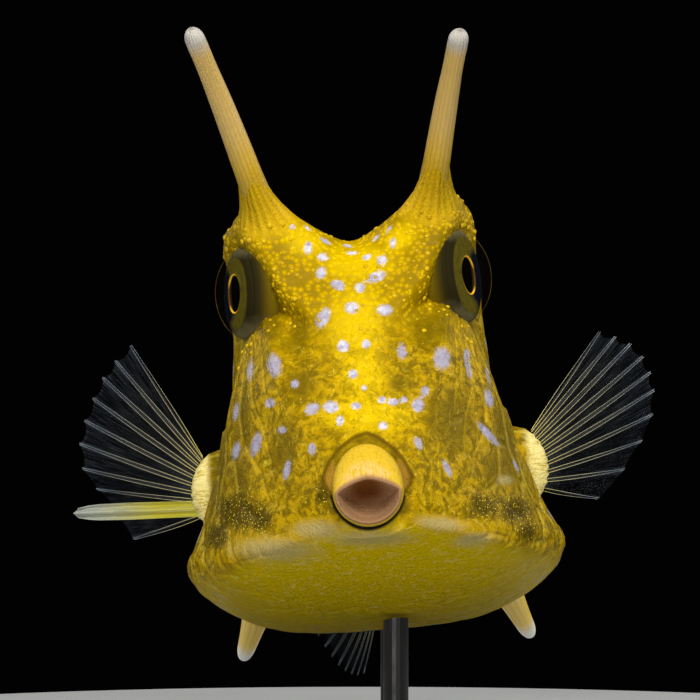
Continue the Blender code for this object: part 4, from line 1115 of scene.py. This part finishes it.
# Beads: raised bright grains of bone along the brow, the eye rims and the forehead. They are
# scattered over the hide by Geometry Nodes, thickest where the bead_share attribute is high.
BEAD_RADIUS = 0.28
BEAD_SPACING = 0.70
BEAD_SEED = 5
BEAD_DENSITY = 3.2e6
BEAD_FLATTENING = 0.50
BEAD_LEAST = 0.55
BEAD_MOST = 1.15
BEAD_RIM = (1.1, 0.55)
BEAD_RIM_Y = (25.0, 17.0)
BEAD_BROW = (RIDGE_COLUMN + 0.25, 0.5)
BEAD_BROW_Y = (30.0, 24.0)
BEAD_BROW_Z = (30.0, 36.0)
BEAD_FOREHEAD_Y = (24.0, 18.0)
BEAD_FOREHEAD_Z = (26.0, 34.0)

rim_share = swell(eye_distance, *BEAD_RIM) * soft_step(box_y, *BEAD_RIM_Y)
brow_share = swell(half_column, *BEAD_BROW) * soft_step(box_y, *BEAD_BROW_Y)
brow_share = brow_share * soft_step(box[..., 2], *BEAD_BROW_Z)
forehead_share = 0.22 * soft_step(box[..., 2], *BEAD_FOREHEAD_Z) * soft_step(box_y, *BEAD_FOREHEAD_Y)
box_plane = horn_plane[SNOUT_ROWS:SNOUT_ROWS + BOX_ROWS]
horn_clear = soft_step(np.hypot(box_plane[..., 0], box_plane[..., 1]), 2.2, 3.6)
bead_share = np.maximum(rim_share, brow_share * 0.8)
bead_share = np.maximum(bead_share, forehead_share)
bead_share = bead_share * horn_clear * soft_step(eye_distance, 0.2, 0.6) * (facing > 0.02)
store(skin, "bead_share", whole(0.0, bead_share, 0.0))


def new_tree(name, **kinds):
    """A node group on a geometry with inputs by name and socket type, and a wire from each."""
    tree = bpy.data.node_groups.new(name, "GeometryNodeTree")
    tree.interface.new_socket("Geometry", in_out="OUTPUT", socket_type="NodeSocketGeometry")
    kinds = {"Geometry": "NodeSocketGeometry", **kinds}
    for title, kind in kinds.items():
        tree.interface.new_socket(title, in_out="INPUT", socket_type=kind)
    given = tree.nodes.new("NodeGroupInput")
    return [tree] + [Wire(tree, given.outputs[title]) for title in kinds]


def end_tree(geometry, finish):
    """End a node group: instances made real, smooth, with their material."""
    real = geometry.node("GeometryNodeRealizeInstances", {}, {"Geometry": geometry})
    smooth = real.node("GeometryNodeSetShadeSmooth", {}, {"Geometry": real})
    painted = smooth.node("GeometryNodeSetMaterial", {}, {"Geometry": smooth, "Material": finish})
    last = painted.tree.nodes.new("NodeGroupOutput")
    painted.tree.links.new(painted.socket, last.inputs["Geometry"])


def grown(tree, source, name, values):
    """Run a node group on a copy of source and return the result as a plain mesh object."""
    holder = added(name + "_holder", source.data.copy())
    modifier = holder.modifiers.new("grow", "NODES")
    modifier.node_group = tree
    for item in tree.interface.items_tree:
        if item.in_out == "INPUT" and item.name in values:
            modifier[item.identifier] = values[item.name]
    bpy.context.view_layer.update()
    graph = bpy.context.evaluated_depsgraph_get()
    mesh = bpy.data.meshes.new_from_object(holder.evaluated_get(graph))
    holder.modifiers.clear()
    bpy.data.objects.remove(holder, do_unlink=True)
    mesh.name = name
    return added(name, mesh)


bead_finish, shader, start = new_finish("bead", {"Roughness": 0.42, "Specular IOR Level": 0.2})
tone = noise(object_point(start), 400.0)
colour = tinted(between(tone, 0.35, 0.65), (0.54, 0.34, 0.0), (0.72, 0.48, 0.001))
feed(shader, "Base Color", colour)

tree, mesh, spacing, radius, seed, finish = new_tree(
    "scatter_beads", Spacing="NodeSocketFloat", Radius="NodeSocketFloat", Seed="NodeSocketInt",
    Finish="NodeSocketMaterial",
)
wanted = mesh.node("GeometryNodeInputNamedAttribute", {"data_type": "FLOAT"}, {"Name": "bead_share"})
points = mesh.node("GeometryNodeDistributePointsOnFaces", {"distribute_method": "POISSON"},
                   {"Mesh": mesh, "Distance Min": spacing, "Density Max": BEAD_DENSITY,
                    "Density Factor": wanted, "Seed": seed})
turned = Wire(tree, points.socket.node.outputs["Rotation"])
grain = mesh.node("GeometryNodeMeshIcoSphere", {}, {"Radius": radius, "Subdivisions": 2})
grain = mesh.node("GeometryNodeTransform", {}, {"Geometry": grain, "Scale": (1.0, 1.0, BEAD_FLATTENING)})
size = mesh.node("FunctionNodeRandomValue", {}, {2: BEAD_LEAST, 3: BEAD_MOST, "Seed": seed}, 1)
end_tree(mesh.node("GeometryNodeInstanceOnPoints", {},
                   {"Points": points, "Instance": grain, "Rotation": turned, "Scale": size}), finish)
beads = grown(tree, skin, "brow_beads", {"Spacing": BEAD_SPACING * MM, "Radius": BEAD_RADIUS * MM,
                                         "Seed": BEAD_SEED, "Finish": bead_finish})
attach(beads, "root")

# Fins: clear membrane between bony rays. Each ray is a pair of fine pale strands that part and
# meet again at the tip. The membrane is a thin closed sheet, notched between the rays; the
# strands are curves swept by Geometry Nodes.
PECTORAL_RAYS = 10
PECTORAL_ANGLES = {"left": ((0.0, 56.9), (0.33, 39.7), (0.67, 19.1), (0.89, -3.4), (1.0, -24.9)),
                   "right": ((0.0, 64.3), (0.33, 42.9), (0.67, 15.9), (0.89, -3.2), (1.0, -22.6))}
PECTORAL_SPANS = {"left": ((0.0, 18.6), (0.33, 19.3), (0.67, 16.2), (0.89, 11.5), (1.0, 9.0)),
                  "right": ((0.0, 20.5), (0.33, 18.6), (0.67, 15.9), (0.89, 12.1), (1.0, 10.8))}
PECTORAL_SWEPT = 11.0
PECTORAL_ROOT = np.array((1.4, 0.6, 0.0))
PECTORAL_ROOT_HEIGHT = 6.4
PECTORAL_TIP_OUT = 0.6
PECTORAL_RIPPLE = 0.35
PECTORAL_HALF_WAVES = 5
PECTORAL_BOW = 0.8
BACK_FIN_RAYS = 9
BACK_FIN_DROOP = math.radians(8.0)
# Root line, lean of the first and last ray in degrees, length, how far each of the two leans aside.
BACK_FINS = {
    "dorsal_fin": (((0.0, 69.0, 33.0), (0.0, 78.0, 27.5)), (30.0, 82.0), 17.0, (0.0, 0.0)),
    "anal_fin": (((0.0, 76.0, 8.5), (0.0, 82.5, 13.0)), (137.0, 128.0), 16.0, (-3.1, -9.5)),
}
CAUDAL_LENGTH = 29.8
CAUDAL_RAYS = 10
CAUDAL_HALF_HEIGHTS = ((0.0, 1.8), (0.3, 1.0), (0.55, 0.95), (0.85, 1.0), (0.95, 0.88), (1.0, 0.60))
CAUDAL_BEND = ((0.0, 0.0), (0.5, 1.4), (1.0, 2.2))
CAUDAL_HEADING = np.array((-0.996, 0.0, 0.05))
CAUDAL_RIPPLE = 0.35
CAUDAL_HALF_WAVES = 3
CAUDAL_POINT = 0.6
MEMBRANE_THICKNESS = 0.10
STEPS_BETWEEN_RAYS = 8
FIN_ROWS = 34
STRAND_RADIUS = 0.036
STRAND_SIDES = 6
STRAND_POINTS = 22
STRAND_TAPER = 0.55
STRAND_GAP_ROOT = 0.10
STRAND_GAP_MIDDLE = 0.24


def membrane(name, place, rays, notch, finish):
    """The clear sheet of a fin: place(u, v) gives its middle surface."""
    across = (rays - 1) * STEPS_BETWEEN_RAYS + 1
    u_values = np.linspace(0.0, 1.0, across)
    between_rays = np.abs(np.sin(math.pi * u_values * (rays - 1)))
    middle = np.array([[place(u, (1 - notch * between_rays[i] ** 0.7) * v)
                        for v in np.linspace(0.0, 1.0, FIN_ROWS)] for i, u in enumerate(u_values)])
    normal = np.cross(np.gradient(middle, axis=0), np.gradient(middle, axis=1))
    normal = normal / np.maximum(np.linalg.norm(normal, axis=-1, keepdims=True), 1e-9)
    front = middle + normal * MEMBRANE_THICKNESS / 2
    back = middle - normal * MEMBRANE_THICKNESS / 2
    points = placed(np.concatenate((front.reshape(-1, 3), back.reshape(-1, 3))))
    index = np.arange(across * FIN_ROWS).reshape(across, FIN_ROWS)
    shift = across * FIN_ROWS
    quads = np.stack((index[:-1, :-1], index[1:, :-1], index[1:, 1:], index[:-1, 1:]), axis=-1)
    quads = quads.reshape(-1, 4)
    rim = np.concatenate((index[:, 0], index[-1, 1:], index[-2::-1, -1], index[0, -2:0:-1]))
    after = np.roll(rim, -1)
    rim_quads = np.stack((after, rim, rim + shift, after + shift), axis=-1)
    mesh = bpy.data.meshes.new(name)
    faces = np.concatenate((quads, quads[:, ::-1] + shift, rim_quads))
    mesh.from_pydata(points.tolist(), [], faces.tolist())
    mesh.shade_smooth()
    grid_u, grid_v = np.meshgrid(u_values * (rays - 1), np.linspace(0.0, 1.0, FIN_ROWS), indexing="ij")
    flat = np.stack((grid_u.ravel(), grid_v.ravel(), np.zeros(grid_u.size)), axis=-1)
    fan = mesh.attributes.new("fan", "FLOAT_VECTOR", "POINT")
    fan.data.foreach_set("vector", np.concatenate((flat, flat)).astype(np.float32).ravel())
    bm = bmesh.new()
    bm.from_mesh(mesh)
    bmesh.ops.recalc_face_normals(bm, faces=bm.faces[:])
    bm.to_mesh(mesh)
    bm.free()
    mesh.materials.append(finish)
    return added(name, mesh)


def strand_curves(name, place, rays, root_radius, splay):
    """Paired strands of each ray as one curve object, in metres, with a radius at each point."""
    curve = bpy.data.curves.new(name, "CURVE")
    curve.dimensions = "3D"
    for ray in range(rays):
        u = ray / (rays - 1)
        for hand in (-1.0, 1.0):
            spline = curve.splines.new("POLY")
            spline.points.add(STRAND_POINTS - 1)
            for step in range(STRAND_POINTS):
                v = step / (STRAND_POINTS - 1)
                here = place(u, v)
                near = place(min(1.0, u + 0.01), v) - place(max(0.0, u - 0.01), v)
                near = near / max(np.linalg.norm(near), 1e-9)
                part = splay * math.sin(math.pi * v ** 0.8)
                apart = STRAND_GAP_ROOT + (STRAND_GAP_MIDDLE - STRAND_GAP_ROOT) * part
                point = placed(here + near * hand * apart)
                spline.points[step].co = (*point, 1.0)
                spline.points[step].radius = root_radius * (1.0 - STRAND_TAPER * v) * MM
    return added(name, curve)


sweep, strand, sides, finish = new_tree("sweep_strands", Sides="NodeSocketInt", Finish="NodeSocketMaterial")
along_strand = strand.node("GeometryNodeSplineParameter", {}, {})
strand = strand.node("GeometryNodeStoreNamedAttribute", {"data_type": "FLOAT"},
                     {"Geometry": strand, "Name": "far", "Value": along_strand})
circle = strand.node("GeometryNodeCurvePrimitiveCircle", {}, {"Resolution": sides, "Radius": 1.0})
width = strand.node("GeometryNodeInputRadius", {}, {})
end_tree(strand.node("GeometryNodeCurveToMesh", {},
                     {"Curve": strand, "Profile Curve": circle, "Scale": width, "Fill Caps": True}), finish)


def fin_sheet_finish(name, tint, tip_tint, least, most):
    """Clear membrane: fine streaks along the rays, a little denser at the root and beside them."""
    finish, shader, start = new_finish(name, {"Roughness": 0.28})
    u, v = parts_of(attribute(start, "fan", 1), 2)
    streaks = noise(u.node("ShaderNodeCombineXYZ", {}, {0: u * 9.0, 1: v * 3.0}), 1.6, 3.0, 0.6)
    beside = between((u - u.maths("ROUND")).maths("ABSOLUTE"), 0.16, 0.04)
    density = streaks + beside * 0.35 + between(v, 0.35, 0.0) * 0.35
    feed(shader, "Alpha", between(density, 0.35, 1.0, least, most))
    feed(shader, "Base Color", tinted(between(v, 0.62, 0.97), tint, tip_tint))
    bumped(shader, streaks, 0.06)
    return finish


TAIL_WHITE = (0.52, 0.56, 0.50)
fin_sheet = fin_sheet_finish("fin_membrane", (0.34, 0.38, 0.44), (0.30, 0.36, 0.46), 0.002, 0.06)
tail_sheet = fin_sheet_finish("tail_membrane", (0.64, 0.58, 0.02), TAIL_WHITE, 0.75, 1.0)

ray_finish, shader, start = new_finish("fin_ray", {"Roughness": 0.3})
tone = noise(object_point(start), 260.0)
far = attribute(start, "far")
feed(shader, "Base Color", layered(
    tinted(between(far, 0.0, 0.45), (0.86, 0.70, 0.14), (0.52, 0.47, 0.26)),
    (between(far, 0.50, 0.95), (0.22, 0.26, 0.30)),
    (between(far, 0.90, 0.99) * between(tone, 0.35, 0.65), (0.60, 0.68, 0.74)),
))

yellow_ray_finish, shader, start = new_finish("yellow_ray", {"Roughness": 0.3})
tone = noise(object_point(start), 260.0)
feed(shader, "Base Color", layered(
    tinted(between(tone, 0.35, 0.65), (0.62, 0.55, 0.02), (0.76, 0.70, 0.08)),
    (between(attribute(start, "far"), 0.62, 0.97), TAIL_WHITE),
))


def pectoral_surface(side):
    centre = mirrored(LOBE_CENTRE, side)
    angles = smooth_line(PECTORAL_ANGLES[side])
    spans = smooth_line(PECTORAL_SPANS[side])

    def place(u, v):
        tilt = math.radians(float(angles(u)))
        root = centre + mirrored(PECTORAL_ROOT, side)
        root[2] += (0.5 - u) * PECTORAL_ROOT_HEIGHT
        reach = np.array((SIGNS[side] * math.cos(tilt), 0.0, math.sin(tilt))) * float(spans(u))
        tip = centre + np.array((SIGNS[side] * PECTORAL_TIP_OUT, 0.0, 0.0)) + reach
        tip[1] += PECTORAL_SWEPT + PECTORAL_RIPPLE * math.cos(u * math.pi * PECTORAL_HALF_WAVES)
        bow = PECTORAL_BOW * math.sin(math.pi * v)
        return root + (tip - root) * v + np.array((0.0, bow, 0.0))

    return place


def back_surface(name):
    roots, lean, length, sideways = BACK_FINS[name]

    def place(u, v):
        start_point = np.array(roots[0]) + (np.array(roots[1]) - np.array(roots[0])) * u
        turn = math.radians(lean[0] + (lean[1] - lean[0]) * u) + BACK_FIN_DROOP * v
        reach = length * (0.80 + 0.20 * math.sin(math.pi * min(1.0, u * 0.9 + 0.15)))
        aside = sideways[0] + (sideways[1] - sideways[0]) * u
        return (start_point + np.array((0.0, math.sin(turn), math.cos(turn))) * (v * reach)
                + np.array((aside * v ** 1.5, 0.0, 0.0)))

    return place


def caudal_surface():
    half_heights = smooth_line(CAUDAL_HALF_HEIGHTS)
    bend = smooth_line(CAUDAL_BEND)

    def place(u, v):
        point = np.array(TAIL_PATH[-1]) + CAUDAL_HEADING * (v * CAUDAL_LENGTH)
        point[2] += (0.5 - u) * 2 * float(half_heights(v))
        point[1] += float(bend(v)) + CAUDAL_RIPPLE * math.sin(u * math.pi * CAUDAL_HALF_WAVES) * v
        point[0] -= CAUDAL_POINT * (1 - abs(2 * u - 1)) * v
        return point

    return place


# Surface, rays, depth of the notches, membrane, ray finish, strand thickness and splay.
fins = {
    "pectoral_fin_left": (pectoral_surface("left"), PECTORAL_RAYS, 0.035, fin_sheet, ray_finish, 1.0, 1.0),
    "pectoral_fin_right": (pectoral_surface("right"), PECTORAL_RAYS, 0.035, fin_sheet, ray_finish, 1.0, 1.0),
    "dorsal_fin": (back_surface("dorsal_fin"), BACK_FIN_RAYS, 0.05, fin_sheet, ray_finish, 0.9, 1.0),
    "anal_fin": (back_surface("anal_fin"), BACK_FIN_RAYS, 0.05, fin_sheet, ray_finish, 0.9, 1.0),
    "caudal_fin": (caudal_surface(), CAUDAL_RAYS, 0.02, tail_sheet, yellow_ray_finish, 1.5, 0.2),
}
for name, (surface, rays, notch, sheet, ray_paint, thickness, splay) in fins.items():
    slot = "tail_fin" if name == "caudal_fin" else "fin_membrane"
    sheet_piece = membrane(name + "_membrane", surface, rays, notch, sheet)
    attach(sheet_piece, "root")
    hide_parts(name)
    guide = strand_curves(name + "_guide", surface, rays, STRAND_RADIUS * thickness, splay)
    strands = grown(sweep, guide, name + "_rays", {"Sides": STRAND_SIDES, "Finish": ray_paint})
    bpy.data.objects.remove(guide, do_unlink=True)
    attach(strands, "root")

# Rear spines: the keels run on behind the box as long blunt spines, orange-yellow at the
# root and white at the tip. Tapered tubes with fine flutes, sunk into the keel.
SPINE_BASE = np.array((14.6, 76.5, 7.4))
SPINE_TIP = np.array((18.8, 98.0, 1.0))
SPINE_RADII = (2.5, 2.2, 1.95, 1.75, 1.6, 1.45, 1.32, 1.2, 1.05, 0.6)
SPINE_ROWS = 90
SPINE_ROW_PACKING = 1.3
SPINE_ROUND_END = 0.05
SPINE_FLUTES = 14
SPINE_FLUTE_DEPTH = 0.03
SPINE_ORANGE = (0.98, 0.66, 0.08)
SPINE_WHITE = (0.95, 0.93, 0.85)

# The spines glow faintly in their own colour: painted light that keeps them bright in the shade under the
# body.
spine_finish, shader, start = new_finish("rear_spine", {"Emission Strength": 0.12})
place = attribute(start, "place", 1)
far = attribute(start, "far")
middle = noise(place, 1.2, 3.0, 0.6)
colour = layered(
    tinted(between(far, 0.66, 0.90), SPINE_ORANGE, SPINE_WHITE),
    (between(attribute(start, "stripe"), 0.3, 0.9) * between(far, 0.9, 0.4) * 0.25, OLIVE),
)
feed(shader, "Base Color", colour)
feed(shader, "Roughness", between(middle, 0.3, 0.7, 0.36, 0.5))
feed(shader, "Emission Color", colour)
bumped(shader, middle * 0.5 + noise(place, 6.0) * 0.4, 0.12)

spine_radius = even_line(SPINE_RADII, 1.0)
for side in SIGNS:
    base = mirrored(SPINE_BASE, side)
    reach = mirrored(SPINE_TIP, side) - base
    rows = []
    for row in range(SPINE_ROWS):
        far_share = 1 - (1 - row / (SPINE_ROWS - 1)) ** SPINE_ROW_PACKING
        radius = rounded(spine_radius(far_share), far_share, SPINE_ROUND_END)
        flutes = SPINE_FLUTE_DEPTH * (0.5 + 0.5 * np.cos(SPINE_FLUTES * rod_angle)) * (1 - far_share)
        rows.append((base + reach * far_share, radius * (1 - flutes), far_share))
    spine = turned_rod("keel_spine_" + side, reach / np.linalg.norm(reach), rows, SPINE_FLUTES)
    spine.data.materials.append(spine_finish)
    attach(spine, "root")
    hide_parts("rear_spine_" + side)

# Stand: a flat base and two thin rods of black painted steel with a satin coat, screwed up
# into the belly. They are the solids themselves with a material.
stand_finish, shader, start = new_finish("stand", {})
mottle = noise(object_point(start), 900.0, 3.0, 0.6)
wear = noise(object_point(start), 60.0)
feed(shader, "Base Color", tinted(between(wear, 0.35, 0.65), (0.016, 0.016, 0.018), (0.026, 0.026, 0.028)))
feed(shader, "Roughness", between(mottle, 0.3, 0.7, 0.32, 0.46))
bumped(shader, mottle, 0.02)
for name in ("stand_base", "stand_rod_front", "stand_rod_back"):
    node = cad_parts[name]
    node.data.materials.clear()
    node.data.materials.append(stand_finish)

# Stage: a pale round floor, a dark room and plain soft lamps.
FLOOR_RADIUS = 0.165
LAMPS = (
    ("key_lamp", (0.03, -0.34, 0.40), 0.24, 2.4, (1.0, 0.97, 0.90)),
    ("front_lamp", (-0.08, -0.55, 0.02), 0.30, 0.9, (1.0, 0.98, 0.94)),
    ("left_rim_lamp", (-0.34, 0.14, 0.22), 0.20, 0.5, (0.90, 0.95, 1.0)),
    ("right_rim_lamp", (0.34, 0.14, 0.22), 0.20, 0.5, (0.90, 0.95, 1.0)),
)
AIM = Vector((0.0, -0.01, 0.045))

bm = bmesh.new()
bmesh.ops.create_circle(bm, cap_ends=True, segments=128, radius=FLOOR_RADIUS)
floor_mesh = bpy.data.meshes.new("floor")
bm.to_mesh(floor_mesh)
bm.free()
floor = added("floor", floor_mesh)
floor_finish, shader, start = new_finish("floor", {"Roughness": 0.6})
grain_noise = noise(object_point(start), 30.0, 3.0)
feed(shader, "Base Color", tinted(between(grain_noise, 0.3, 0.7), (0.60, 0.60, 0.59), (0.66, 0.66, 0.65)))
floor.data.materials.append(floor_finish)

for name, place, size, power, tint in LAMPS:
    lamp_data = bpy.data.lights.new(name, "AREA")
    lamp_data.shape = "DISK"
    lamp_data.size = size
    lamp_data.energy = power
    lamp_data.color = tint
    lamp = added(name, lamp_data)
    lamp.location = place
    lamp.rotation_euler = (AIM - Vector(place)).to_track_quat("-Z", "Y").to_euler()

world = bpy.data.worlds.new("dark_room")
world.use_nodes = True
world.node_tree.nodes["Background"].inputs["Color"].default_value = (0.0006, 0.0006, 0.0008, 1.0)
bpy.context.scene.world = world
bpy.context.scene.view_settings.view_transform = "Standard"
